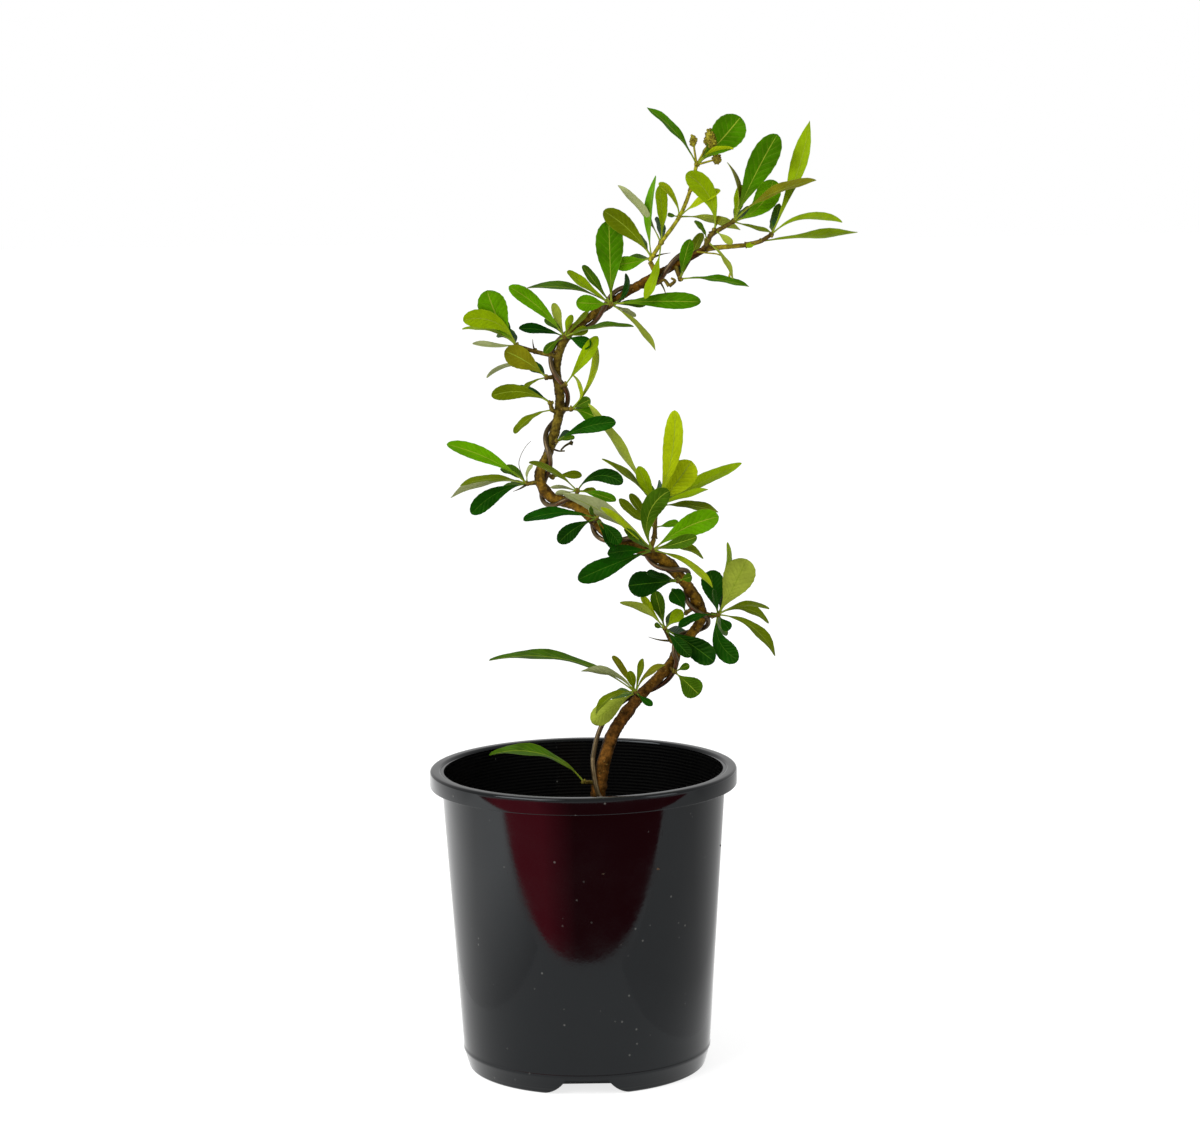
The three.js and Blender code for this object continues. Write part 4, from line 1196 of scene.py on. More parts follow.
def soil_tree():
    """Scatters chips of many sizes over the upper face of the soil and keeps the soil below them."""
    inputs = {"Density": 40000.0, "Chip Size": 0.006, "Spread": 0.07, "Seed": 7}
    tree, sockets, given = new_tree("Bark chips", inputs)
    place = node(tree, "ShaderNodeSeparateXYZ", {0: node(tree, "GeometryNodeInputPosition").outputs[0]})
    level = (SOIL_TOP - 6) * MM
    high = node(tree, "FunctionNodeCompare", {0: place.outputs[2], 1: level}, operation="GREATER_THAN")
    values = {0: axis_distance(tree, place), 1: given["Spread"]}
    near = node(tree, "FunctionNodeCompare", values, operation="LESS_THAN")
    values = {0: near.outputs[0], 1: high.outputs[0]}
    chosen = node(tree, "FunctionNodeBooleanMath", values, operation="AND").outputs[0]
    values = {"Mesh": given["Geometry"], "Selection": chosen, "Density": given["Density"]}
    points = node(tree, "GeometryNodeDistributePointsOnFaces", {**values, "Seed": given["Seed"]})
    chip = node(tree, "GeometryNodeMeshIcoSphere", {"Radius": 0.5, "Subdivisions": 1})
    values = {0: (-0.5, -0.5, 0.0), 1: (0.5, 0.5, 6.283), "Seed": given["Seed"]}
    turn = node(tree, "FunctionNodeRandomValue", values, data_type="FLOAT_VECTOR").outputs[0]
    values = {0: (0.35, 0.2, 0.14), 1: (1.1, 0.65, 0.36), "Seed": 3}
    share = node(tree, "FunctionNodeRandomValue", values, data_type="FLOAT_VECTOR").outputs[0]
    size = node(tree, "ShaderNodeVectorMath", {0: share, "Scale": given["Chip Size"]}, operation="SCALE")
    values = {"Points": points.outputs["Points"], "Instance": chip.outputs["Mesh"], "Rotation": turn}
    placed = node(tree, "GeometryNodeInstanceOnPoints", {**values, "Scale": size.outputs[0]})
    end_tree(tree, given, join_to(tree, given, placed), False)
    return tree, sockets


class OBJECT_OT_firethorn_soil(bpy.types.Operator):
    """Fills the pot with bark mix and scatters chips over it"""

    bl_idname = "object.firethorn_soil"
    bl_label = "Soil"

    def execute(self, context):
        settings = context.scene.firethorn_soil
        low = POT["lowHeight"] + 2
        top = SOIL_TOP - SOIL_SUNK
        foot = inner_radius(low) - SOIL_GAP
        brim = inner_radius(top) - SOIL_GAP
        spread = brim - BARE_MARGIN
        profile = [(0, low), (foot, low), (brim, top)]
        profile += [(spread * (1 - i / SOIL_RINGS), top) for i in range(SOIL_RINGS + 1)]
        mesh = Mesh()
        lathe(mesh, profile, SOIL_SIDES)
        for v in mesh.verts:
            if v.z > top - 0.01 and v.xy.length < brim - 0.5:
                v.z += 1.1 * noise.noise(v * 0.07) + 0.6 * noise.noise(v * 0.3)
        material = soil_material()
        ground = mesh.finish("bark_mix", [material])
        tree, sockets = soil_tree()
        values = {
            "Density": settings.chips, "Chip Size": settings.chip_size, "Spread": (spread + 0.1) * MM,
            "Seed": settings.seed, "Material": material,
        }
        soil = grown(ground, tree, sockets, values)
        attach(soil, ROOT)
        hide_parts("soil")
        return {"FINISHED"}


# Trunk, boughs and wire


# How far a node's ring stands out and the bark dips after it, as shares of its height
RING_OUT = 0.55
RING_DIP = 0.1
# How many rings and sides the trunk and each bough have
TRUNK_RINGS = 620
TRUNK_SIDES = 26
BOUGH_RINGS = 30
BOUGH_SIDES = 12
# Each height in metres where the trunk's colour is set, the setting that it has there, and its share of it.
# The share of a third at the soil is painted shade down inside the pot
TRUNK_LEVELS = [
    (0.128, "foot", 0.35), (0.155, "foot", 1), (0.2, "foot", 0.95), (0.24, "middle", 1),
    (0.32, "middle", 1), (0.345, "neck", 1), (0.4, "neck", 1), (0.425, "top", 1), (0.46, "top", 1),
]
# Young wood's colour at two heights in metres
YOUNG_WOOD = [(0.25, (0.17, 0.125, 0.015)), (0.45, (0.24, 0.2, 0.012))]


def bark_relief(alongs, depth):
    """How far the bark stands out at a place: rings at the nodes, streaks and small pores."""

    def relief(centre, out, radius, k):
        along = alongs[k]
        swell = 0.0
        for place, height, width in TRUNK_NODES:
            past = along - place
            swell += height * RING_OUT * math.exp(-((past / width) ** 2))
            swell -= height * RING_DIP * math.exp(-(((past - width * 1.5) / (width * 0.6)) ** 2))
        streak = noise.noise(Vector((out.x * 2.2, out.y * 2.2, out.z * 2.2 + along * 0.09)))
        fine = noise.noise((centre + out * radius) * 1.1)
        rings = noise.noise(Vector((along * 0.9, out.x * 0.6, out.y * 0.6)))
        return (swell + depth * (2.0 * streak + 1.0 * fine + 1.1 * rings)) * min(1.0, radius / 2.2)

    return relief


class OBJECT_OT_firethorn_trunk(bpy.types.Operator):
    """Makes the bent trunk and its boughs with the bark's relief"""

    bl_idname = "object.firethorn_trunk"
    bl_label = "Trunk and boughs"

    def execute(self, context):
        settings = context.scene.firethorn_bark
        mesh = Mesh()
        limb = Limb(TRUNK)
        alongs, centres, radii = limb.cuts(TRUNK_RINGS)
        radii[-2] *= 0.85
        radii[-1] *= 0.5
        tube(mesh, centres, radii, TRUNK_SIDES, 0, bark_relief(alongs, settings.relief / MM))
        for rows in BOUGHS.values():
            start = limb.nearest(Vector(rows[0][:3]))
            bough = Limb([[*start, rows[0][3] + BOUGH_FLARE], *rows], 200)
            alongs, centres, radii = bough.cuts(BOUGH_RINGS)
            radii = [radius + 1.1 * math.exp(-along / 1.6) for along, radius in zip(alongs, radii)]
            tube(mesh, centres, radii, BOUGH_SIDES, 1, uneven(0.16, 0.5, 0.8))
        levels = [(height, scaled(getattr(settings, part), by)) for height, part, by in TRUNK_LEVELS]
        bark = bark_material("trunk_bark", levels, (0.014, 0.005, 0.001), 0.14)
        shoot = bark_material("young_wood", YOUNG_WOOD, (0.09, 0.05, 0.008))
        trunk = mesh.finish("trunk_bark", [bark, shoot])
        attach(trunk, ROOT)
        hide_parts("trunk", *BOUGHS)
        return {"FINISHED"}


# How many steps the wire's path has
WIRE_STEPS = 900


def wire_points(limb):
    """The wire's winding path round the trunk."""
    turns = WIRE["turns"]
    points = []
    for k in range(WIRE_STEPS + 1):
        along = lerp(turns[0][0], turns[-1][0], k / WIRE_STEPS)
        i = next(n for n in range(1, len(turns)) if turns[n][0] >= along - 1e-9)
        start, turned_before = turns[i - 1]
        end, turned_after = turns[i]
        phase = lerp(turned_before, turned_after, (along - start) / (end - start))
        tangent = limb.tangent(along)
        front = (Vector((0, -1, 0)) + tangent * tangent.y).normalized()
        right = tangent.cross(front)
        in_loose = min(max((along - WIRE["looseFrom"]) / (WIRE["looseTo"] - WIRE["looseFrom"]), 0.0), 1.0)
        loose = WIRE["loose"] * math.sin(math.pi * in_loose)
        reach = limb.radius(along) + WIRE["radius"] + CLEAR + loose
        angle = 2 * math.pi * phase
        points.append(limb.at(along) + front * math.cos(angle) * reach - right * math.sin(angle) * reach)
    return points


def wire_tree():
    """Sweeps a round section along a path of edges."""
    tree, sockets, given = new_tree("Wire along a path", {"Radius": WIRE["radius"] * MM, "Sides": 12})
    path = node(tree, "GeometryNodeMeshToCurve", {0: given["Geometry"]})
    values = {"Resolution": given["Sides"], "Radius": given["Radius"]}
    section = node(tree, "GeometryNodeCurvePrimitiveCircle", values, mode="RADIUS")
    values = {"Curve": path.outputs[0], "Profile Curve": section.outputs["Curve"], "Fill Caps": True}
    end_tree(tree, given, node(tree, "GeometryNodeCurveToMesh", values), True)
    return tree, sockets


WORN_WIRE = (0.27, 0.21, 0.11)


def wire_material(colour):
    """Bronze anodised aluminium with paler, worn patches."""
    material, tree, shader = new_material("bronze_wire")
    worn = mixed(colour, WORN_WIRE, 0.35)
    base, rough, grain = mottled(tree, rgba(colour), worn, (130.0, 0.55), (1600.0, 0.3), (0.36, 0.2))
    dress(tree, shader, {"Base Color": base, "Roughness": rough, "Metallic": 0.75}, grain, 0.25, 0.0002)
    return material


class OBJECT_OT_firethorn_wire(bpy.types.Operator):
    """Winds the training wire round the trunk with Geometry Nodes"""

    bl_idname = "object.firethorn_wire"
    bl_label = "Training wire"

    def execute(self, context):
        settings = context.scene.firethorn_wire
        points = wire_points(Limb(TRUNK))
        data = bpy.data.meshes.new("wire_coil")
        edges = [(i, i + 1) for i in range(len(points) - 1)]
        data.from_pydata([p * MM for p in points], edges, [])
        tree, sockets = wire_tree()
        material = wire_material(settings.colour)
        values = {"Radius": settings.radius, "Sides": settings.sides, "Material": material}
        wire = grown(linked("wire_coil", data), tree, sockets, values)
        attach(wire, ROOT)
        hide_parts("training_wire")
        return {"FINISHED"}


# Leaves and twigs


class Leaf:
    """One leaf's line and turned section, by the rule of the part's source."""

    def __init__(self, foot, row, lean):
        self.foot = foot
        self.row = row
        bearing, bend, seen, width = row[:4]
        self.bearing = math.radians(bearing)
        self.half = math.radians(bend) / 2
        self.tilt = math.radians(lean)
        share = 1 if self.half == 0 else self.half / math.sin(self.half)
        self.length = seen / math.cos(self.tilt) * share
        self.run = self.length - LEAF["footStart"]
        self.broad = max(width, min(LEAF["broadest"], LEAF["slimmest"] + LEAF["broadens"] * self.length))
        self.roll = math.acos(min(1.0, width / self.broad))
        self.shade = row[5].split()[-1]
        self.facing = -1 if row[5].startswith("below") else 1
        self.up = -1 if math.cos(self.bearing) < 0 else 1

    def narrow(self):
        """Narrows a leaf seen from its side, and turns it to show the same width from the eye's height."""
        shown = self.broad * math.cos(self.roll)
        self.broad = max(shown, self.broad * NARROWED)
        down = math.atan((EYE["height"] - self.foot.z) / EYE["distance"])
        level = abs(math.cos(self.bearing)) * self.facing
        self.roll = math.acos(min(1.0, shown / self.broad)) + down * level

    def ahead(self, at):
        angle = self.bearing + (at - 0.5) * 2 * self.half
        return Vector((math.cos(angle), 0, math.sin(angle)))

    def step(self, at):
        return self.ahead(at) * math.cos(self.tilt) + Vector((0, math.sin(self.tilt), 0))

    def section(self, at):
        """The blade's direction across and its upper side at a share of its length."""
        way = self.ahead(at)
        to_front = way * math.sin(self.tilt) + Vector((0, -math.cos(self.tilt), 0))
        upward = Vector((-way.z * self.up, 0, way.x * self.up))
        normal = to_front * (self.facing * math.cos(self.roll)) + upward * math.sin(self.roll)
        return normal.cross(self.step(at)), normal, to_front

    def centres(self, shares):
        """Points of the leaf's line at these shares, beginning a little way out of the twig."""
        place = self.foot + self.step(0) * LEAF["footStart"]
        points = []
        last = 0.0
        for share in shares:
            parts = max(1, round((share - last) * 40))
            for i in range(parts):
                middle = last + (share - last) * (i + 0.5) / parts
                place = place + self.step(middle) * ((share - last) / parts * self.run)
            points.append(place.copy())
            last = share
        return points

    def plain_solid(self, grow):
        """The source's plain blade, as vertices and triangles, for the test against what stands already."""
        verts = []
        faces = []
        place = self.foot + self.step(0) * LEAF["footStart"]
        shares = LEAF["shares"]
        for i, share in enumerate(shares):
            if i > 0:
                middle = (shares[i - 1] + share) / 2
                place = place + self.step(middle) * ((share - shares[i - 1]) * self.run)
            if i == len(shares) - 1:
                verts.append(place.copy())
                break
            across, normal, _ = self.section(share)
            half_width = self.broad * LEAF["widths"][i] / 2 + grow
            thick = max(LEAF["thickness"], self.length * LEAF["thicknessShare"])
            if i == 0:
                thick = LEAF["footThickness"]
            rise = half_width * math.tan(math.radians(LEAF["fold"]))
            verts.append(place + across * half_width + normal * rise / 2)
            verts.append(place + normal * (thick / 2 + grow - rise / 2))
            verts.append(place - across * half_width + normal * rise / 2)
            verts.append(place + normal * (-thick / 2 - grow - rise / 2))
        rings = len(shares) - 1
        for k in range(rings):
            for i in range(4):
                j = (i + 1) % 4
                if k == rings - 1:
                    faces.append((4 * k + i, 4 * k + j, 4 * rings))
                else:
                    faces.append((4 * k + i, 4 * k + j, 4 * k + 4 + j))
                    faces.append((4 * k + i, 4 * k + 4 + j, 4 * k + 4 + i))
        faces.append((0, 2, 1))
        faces.append((0, 3, 2))
        return verts, faces


def far_rows(cluster, draw):
    """The rows of a cluster's far leaves, which stand behind its broad leaves and lean well back."""
    broad = [row for row in cluster["leaves"] if row[3] >= FAR["hiddenBy"]]
    rows = []
    for i in range(cluster["far"]):
        front = broad[i % len(broad)] if broad else cluster["leaves"][0]
        bearing = front[0] + (draw() - 0.5) * FAR["spread"]
        lean = lerp(FAR["leanFrom"], FAR["leanTo"], draw())
        length = lerp(FAR["shortest"], FAR["longest"], draw())
        seen = min(length * math.cos(math.radians(lean)), front[2] * FAR["shareOfFront"])
        width = lerp(FAR["narrow"], FAR["wide"], draw())
        bend = max(-FAR["mostBend"], min(FAR["mostBend"], front[1]))
        shade = "dark" if draw() < 0.5 else "moss"
        rows.append([bearing, bend, seen, width, lean, shade, *front[6:]])
    return rows


def tree_of(verts, faces):
    return BVHTree.FromPolygons([tuple(v) for v in verts], faces)


def node_tree_of(name):
    """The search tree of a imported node, in millimetres."""
    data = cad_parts[name].data
    data.calc_loop_triangles()
    verts = [v.co / MM for v in data.vertices]
    return tree_of(verts, [tuple(t.vertices) for t in data.loop_triangles])


def placed_lean(foot, row, taken):
    """The lean at which a leaf is clear of what stands already, or nothing where there is none."""
    for turn in TURNS_TRIED:
        lean = row[4] + turn
        if row[5] == "thorn":
            return lean
        if abs(lean) > MOST_LEAN:
            continue
        solid = tree_of(*Leaf(foot, row, lean).plain_solid(CLEAR))
        if not any(solid.overlap(other) for other in taken):
            return lean
    return None


def outline_at(shape, share):
    """The blade's half width at a share of its length, on a smooth line through the outline's points."""
    rows = LEAF_OUTLINES[shape]
    i = next(n for n in range(1, len(rows)) if share <= rows[n][0])
    t = (share - rows[i - 1][0]) / (rows[i][0] - rows[i - 1][0])
    before = rows[max(i - 2, 0)][1]
    after = rows[min(i + 1, len(rows) - 1)][1]
    return max(eased(before, rows[i - 1][1], rows[i][1], after, t), 0.02)


# The share of a blade that is a round stalk, the stalk's thickness and its least half width
STALK_SHARE = 0.15
STALK_THICKNESS = 1.05
STALK_WIDTH = 0.42
# The share from the foot that has the rib's shade all over
STALK_SHADE = 0.12
# How far every second ring of the margin stands out and the others draw in
TOOTH_OUT = 0.022
TOOTH_IN = 0.012
# How deep the rib's groove is above, and how far it stands out below
RIB_GROOVE = 0.1
RIB_RIDGE = 0.22


def add_blade(mesh, leaf, shape, slots, settings, draw):
    """A closed blade: folded along its rib, waved at its finely toothed margin, its foot a round stalk."""
    centres = leaf.centres(BLADE_SHARES + [1.0])
    wave = settings.wave * leaf.broad
    ripples = 1.2 + 1.6 * draw()
    phase = draw()
    arch = (0.02 + 0.05 * draw()) * leaf.length * (1 if draw() < 0.7 else -1)
    verts = []
    uvs = []
    for k, share in enumerate(BLADE_SHARES):
        across, normal, to_front = leaf.section(share)
        centre = centres[k] - to_front * (arch * 4 * share * (1 - share))
        tooth = 1 + (TOOTH_OUT if k % 2 else -TOOTH_IN)
        half_width = max(leaf.broad / 2 * outline_at(shape, share) * tooth, STALK_WIDTH)
        stalk = max(0.0, 1 - share / STALK_SHARE)
        rise = half_width * math.tan(math.radians(LEAF["fold"]))
        thick = lerp(settings.thickness / MM, STALK_THICKNESS, stalk)
        tops = []
        unders = []
        for v in BLADE_COLUMNS:
            fold = rise * abs(v) ** 1.35 - rise / 2
            swing = share * ripples + phase + (0.3 if v > 0 else 0)
            ripple = wave * v * v * math.sin(2 * math.pi * swing)
            height = (fold + ripple * (1 - stalk)) * (1 - stalk)
            place = centre + across * (v * half_width)
            if abs(v) == 1:
                tops.append(place + normal * height)
                continue
            body = thick * math.sqrt(max(0.0, 1 - v * v * lerp(0.55, 1, stalk))) / 2
            ribbed = abs(v) < 0.1
            top = height + body - (RIB_GROOVE * (1 - stalk) if ribbed else 0)
            low = height - body - (RIB_RIDGE * (1 - share) * (1 - stalk) if ribbed else 0)
            tops.append(place + normal * top)
            unders.append(place + normal * low)
        verts.extend(tops + unders)
        uvs.extend([(share, v / 2 + 0.5) for v in BLADE_COLUMNS + BLADE_COLUMNS[1:-1]])
    verts.append(centres[-1].copy())
    uvs.append((1, 0.5))
    mesh.add(verts, *blade_faces(slots), uvs)


def blade_faces(slots):
    """A blade's faces and their slots: its rings run round the upper side and then the underside."""
    upper, under, rib = slots
    count = len(BLADE_COLUMNS)
    ring = 2 * count - 2
    last = len(BLADE_SHARES) - 1
    tip = (last + 1) * ring

    def top_at(k, n):
        return k * ring + n

    def under_at(k, n):
        return top_at(k, n) if n in (0, count - 1) else k * ring + count + n - 1

    faces = []
    marks = []
    for k, share in enumerate(BLADE_SHARES):
        for n in range(count - 1):
            m = n + 1
            if k == last:
                faces.append((top_at(k, n), tip, top_at(k, m)))
                faces.append((under_at(k, n), under_at(k, m), tip))
            else:
                faces.append((top_at(k, n), top_at(k + 1, n), top_at(k + 1, m), top_at(k, m)))
                faces.append((under_at(k, n), under_at(k, m), under_at(k + 1, m), under_at(k + 1, n)))
            ribbed = k < last and (n == count // 2 - 1 or share < STALK_SHADE)
            marks.extend([rib, rib] if ribbed else [upper, under])
    faces.append(tuple([*range(count), *(under_at(0, n) for n in range(count - 2, 0, -1))]))
    marks.append(rib)
    return faces, marks


def leaf_slots(leaf):
    """The slots of a leaf's upper side, underside and rib."""
    index = list(LEAF_SHADES).index
    if leaf.facing < 0:
        return index("mid"), index(leaf.shade), index("rib")
    under = "grey" if leaf.shade in DARK_SHADES else "under"
    return index(leaf.shade), index(under), index("rib_dark" if leaf.shade in DEEPEST else "rib")


def grow_foliage(draw, taken, settings):
    """Grows every cluster, and gives the leaf meshes of both crowns, the twigs and the buds' places."""
    crowns = {"lower": Mesh(), "upper": Mesh()}
    twigs = Mesh()
    buds = []
    trunk = Limb(TRUNK)
    half = "lower"
    looks = seeded(SEED + 2)
    for name, cluster in CLUSTERS.items():
        if name == UPPER_CROWN_FROM:
            half = "upper"
        path = [Vector(p) for p in cluster["path"]]
        bough = BOUGHS.get(cluster.get("bough"))
        start = Vector(bough[-1][:3]) if bough else trunk.nearest(path[0])
        add_stem(twigs, start, path, looks)
        for row in cluster["leaves"] + far_rows(cluster, draw):
            foot = path[row[6] if len(row) > 6 else -1]
            lean = placed_lean(foot, row, taken)
            if lean is None:
                continue
            if row[5] == "thorn":
                add_thorn(twigs, foot, row, lean)
                continue
            leaf = Leaf(foot, row, lean)
            slim = leaf.broad * math.cos(leaf.roll) < SLIM * leaf.length
            shape = "pointed" if slim else "round"
            leaf.narrow()
            add_blade(crowns[half], leaf, shape, leaf_slots(leaf), settings, looks)
        for bud in cluster.get("buds", []):
            buds.append(bud)
            tube(twigs, [path[-1], Vector(bud[:3])], [0.65, 0.5], 8, GREEN)
        taken.append(node_tree_of(name))
    for slot, first, last, points in WISPS:
        steps = len(points) - 1
        limb = Limb([[*point, lerp(first, last, i / steps)] for i, point in enumerate(points)], 60)
        _, centres, radii = limb.cuts(16)
        tube(twigs, centres, radii, 7, slot)
    return crowns, twigs, buds


# A twig that is longer than this is a green shoot
LONG_TWIG = 25
SCALES_ROUND_A_KNOT = 5


def add_stem(mesh, start, path, draw):
    """A short twig with its knots, from the bough or trunk along the cluster's path."""
    rows = [[*p, lerp(STEM["foot"], STEM["tip"], i / len(path))] for i, p in enumerate([start, *path])]
    limb = Limb(rows, 300)
    alongs, centres, radii = limb.cuts(max(8, round(limb.length / 0.9)))
    if limb.length > LONG_TWIG:
        slot = GREEN
        radii = [radius * 0.92 for radius in radii]
    else:
        slot = WOOD
        radii = [radius + 0.7 * math.exp(-along / 1.5) for along, radius in zip(alongs, radii)]
    tube(mesh, centres, radii, 10, slot, uneven(0.14, 0.6, 1.0))
    for point in path:
        size = 1.25 + 0.25 * draw()
        ball(mesh, point, (size, size, size), slot, point.x, 0.35)
        for _ in range(SCALES_ROUND_A_KNOT):
            way = Vector((draw() - 0.5, draw() - 0.5, draw() - 0.1)).normalized()
            scale = 0.4 + 0.35 * draw()
            radii = (scale, scale, scale * 1.5)
            ball(mesh, point + way * size * 0.85, radii, SCALE, point.z + scale, 0.2, 5, 7)


def add_thorn(mesh, foot, row, lean):
    """A slim curved thorn that tapers to a fine tip, dark all over."""
    bearing = math.radians(row[0])
    along = Vector((math.cos(bearing), math.tan(math.radians(lean)), math.sin(bearing)))
    side = Vector((-math.sin(bearing), 0, math.cos(bearing)))
    centres = []
    radii = []
    for k in range(11):
        t = k / 10
        centres.append(foot + along * (row[2] * t) + side * (0.05 * row[2] * math.sin(math.pi * t)))
        radii.append(lerp(row[3] / 2, 0.12, t ** 0.8))
    tube(mesh, centres, radii, 8, DRY)


def leaf_materials(settings):
    """One material for each shade, in the order of the slots. The undersides are duller."""
    materials = []
    for name, colour in LEAF_SHADES.items():
        tinted = [channel * by for channel, by in zip(colour, settings.tint)]
        deepest = name in DEEPEST
        vein = LEAF_SHADES["rib_dark" if deepest else "rib"]
        veins = settings.veins * (0.5 if deepest else 1.6)
        deepened = 0.6 if name in DARK_SHADES else 0.8
        roughness = 0.36
        specular = settings.specular * (1.5 if deepest else 1)
        if name in UNDERSIDES:
            roughness = 0.62
            specular = settings.specular * 0.4
        materials.append(leaf_material(name, tinted, deepened, vein, veins, roughness, specular))
    return materials


class OBJECT_OT_firethorn_foliage(bpy.types.Operator):
    """Grows the twigs, thorns and leaves of every cluster by the rule of the part's source"""

    bl_idname = "object.firethorn_foliage"
    bl_label = "Twigs and leaves"

    def execute(self, context):
        settings = context.scene.firethorn_leaves
        taken = [node_tree_of(name) for name in ("trunk", "training_wire", "pot", *BOUGHS)]
        crowns, twigs, buds = grow_foliage(seeded(SEED), taken, settings)
        materials = leaf_materials(settings)
        names = list(CLUSTERS)
        cut = names.index(UPPER_CROWN_FROM)
        nodes = {"lower": names[:cut], "upper": names[cut:]}
        for half, mesh in crowns.items():
            piece = mesh.finish("foliage_" + half, materials, 55)
            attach(piece, ROOT)
            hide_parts(*nodes[half])
        barks = []
        for name, (low, high, patch) in TWIG_BARKS.items():
            levels = list(zip(TWIG_HEIGHTS, (low, high)))
            barks.append(bark_material(name, levels, patch))
        piece = twigs.finish("twigs", barks)
        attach(piece, ROOT)
        make_buds(buds)
        return {"FINISHED"}


# The flower buds' sizes in metres, how many there may be on a square metre, and the seed of their places
BUDS = {"Bud Radius": 0.0007, "Spacing": 0.00105, "Density": 600000.0, "Seed": 11}
BUD_LEVELS = [(0.49, (0.24, 0.215, 0.016)), (0.51, (0.27, 0.25, 0.02))]


def bud_tree():
    """Sets small round buds on the skin of each bud cluster's core."""
    tree, sockets, given = new_tree("Flower buds", BUDS)
    values = {"Mesh": given["Geometry"], "Distance Min": given["Spacing"], "Density Max": given["Density"]}
    points = node(
        tree, "GeometryNodeDistributePointsOnFaces", {**values, "Seed": given["Seed"]},
        distribute_method="POISSON",
    )
    bud = node(tree, "GeometryNodeMeshIcoSphere", {"Radius": given["Bud Radius"], "Subdivisions": 2})
    size = node(tree, "FunctionNodeRandomValue", {2: 0.7, 3: 1.25, "Seed": 5}, data_type="FLOAT")
    values = {"Points": points.outputs["Points"], "Instance": bud.outputs["Mesh"], "Scale": size.outputs[1]}
    placed = node(tree, "GeometryNodeInstanceOnPoints", values)
    end_tree(tree, given, join_to(tree, given, placed), True)
    return tree, sockets


def make_buds(buds):
    """The clusters of flower buds at the tip of the upright shoot."""
    mesh = Mesh()
    for x, y, z, width, height in buds:
        half = 0.55 * width - 0.7
        ball(mesh, Vector((x, y, z)), (half, half, 0.55 * height - 0.7), 0, x, 0.25)
    material = bark_material("flower_bud", BUD_LEVELS, (0.1, 0.07, 0.01))
    core = mesh.finish("flower_buds", [material])
    tree, sockets = bud_tree()
    piece = grown(core, tree, sockets, {**BUDS, "Material": material})
    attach(piece, ROOT)


# Stage


def plain_piece(name, corners, material):
    """A flat piece of the stage."""
    data = bpy.data.meshes.new(name)
    data.from_pydata(corners, [], [tuple(range(len(corners)))])
    data.materials.append(material)
    made = linked(name, data)
    return made


def floor_material():
    """A pale studio floor that stays near white."""
    material, tree, shader = new_material("studio_floor")
    patch = rgba((0.385, 0.385, 0.385))
    base, rough, _ = mottled(tree, rgba((0.4, 0.4, 0.4)), patch, (3.0, 0.5), (300.0, 0.01), (0.7, 0.05))
    feed(tree, shader, {"Base Color": base, "Roughness": rough, "Specular IOR Level": 0.1})
    feed(tree, shader, {"Emission Color": (1, 1, 1, 1), "Emission Strength": 0.76})
    return material


def glow_material(name, colour):
    """An emission material, its tree, the node of its strength and where on the card a point lies."""
    material = bpy.data.materials.new(name)
    material.use_nodes = True
    tree = material.node_tree
    tree.nodes.clear()
    glow = node(tree, "ShaderNodeEmission", {"Color": rgba(colour)})
    node(tree, "ShaderNodeOutputMaterial", {"Surface": glow.outputs[0]})
    return material, tree, glow, node(tree, "ShaderNodeSeparateXYZ", {0: object_place(tree)})


def side_glow(name, side, inner, outer, back, front):
    """A card that changes from the floor's brightness beside the pot to its own at the back and front."""
    material, tree, glow, place = glow_material(name, (1, 1, 1))
    own = stretch(tree, place.outputs[1], -0.2, 0.05, front, back)
    across = times(tree, place.outputs[0], float(side))
    feed(tree, glow, {"Strength": stretch(tree, across, inner, outer, 1.05, own)})
    return material


def front_glow(name, colour):
    """A card that glows more on the left of the pot, up to a slant where it fades again."""
    material, tree, glow, place = glow_material(name, colour)
    slant = maths(tree, "DIVIDE", place.outputs[0], plus(tree, place.outputs[1], 0.07))
    left = stretch(tree, slant, 0.15, 0.75, 0.82, 3.7)
    faded = stretch(tree, slant, 2.5, 5.0, 1.0, 0.3)
    feed(tree, glow, {"Strength": times(tree, left, faded)})
    return material


FLOOR_REACH = 9
# The dark red card's colour and corners. The pot mirrors its edge nearest to it as a curve
MAROON = (0.46, 0.034, 0.06)
MAROON_CORNERS = [
    (1.4, -1.7), (1.4, -0.222), (0.47, -0.23), (0.3, -0.235), (0, -0.246), (-0.3, -0.235),
    (-0.47, -0.23), (-1.4, -0.222), (-1.4, -1.7),
]
MAROON_HEIGHT = 0.004
# Each side card's side, where its own glow begins and is full, and that glow at the back and at the front
SIDE_CARDS = [("bright_card", -1, 0.16, 0.4, 1.5, 2.4), ("grey_card", 1, 0.11, 0.2, 0.7, 1.05)]
# The side cards' far edge, front edge, back edge and height
SIDE_REACH = (1.8, -0.22, 1.6, 0.003)
# The place that both lights face
LIT = (0.02, 0, 0.3)
CAMERA = {"place": (0.0106, -1.8346, 0.5442), "pitch": -8.2, "roll": 0.75}


def shine_card(name, corners, material):
    """A card that only the shine of other pieces shows."""
    card = plain_piece(name, corners, material)
    for ray in ("camera", "diffuse", "transmission", "shadow", "volume_scatter"):
        setattr(card, "visible_" + ray, False)


def area_light(name, place, aim, size, power):
    """A soft light that faces a place."""
    data = bpy.data.lights.new(name, "AREA")
    data.shape = "RECTANGLE"
    data.size = size[0]
    data.size_y = size[1]
    data.energy = power
    lamp = linked(name, data)
    lamp.location = place
    lamp.rotation_euler = (Vector(aim) - Vector(place)).to_track_quat("-Z", "Y").to_euler()


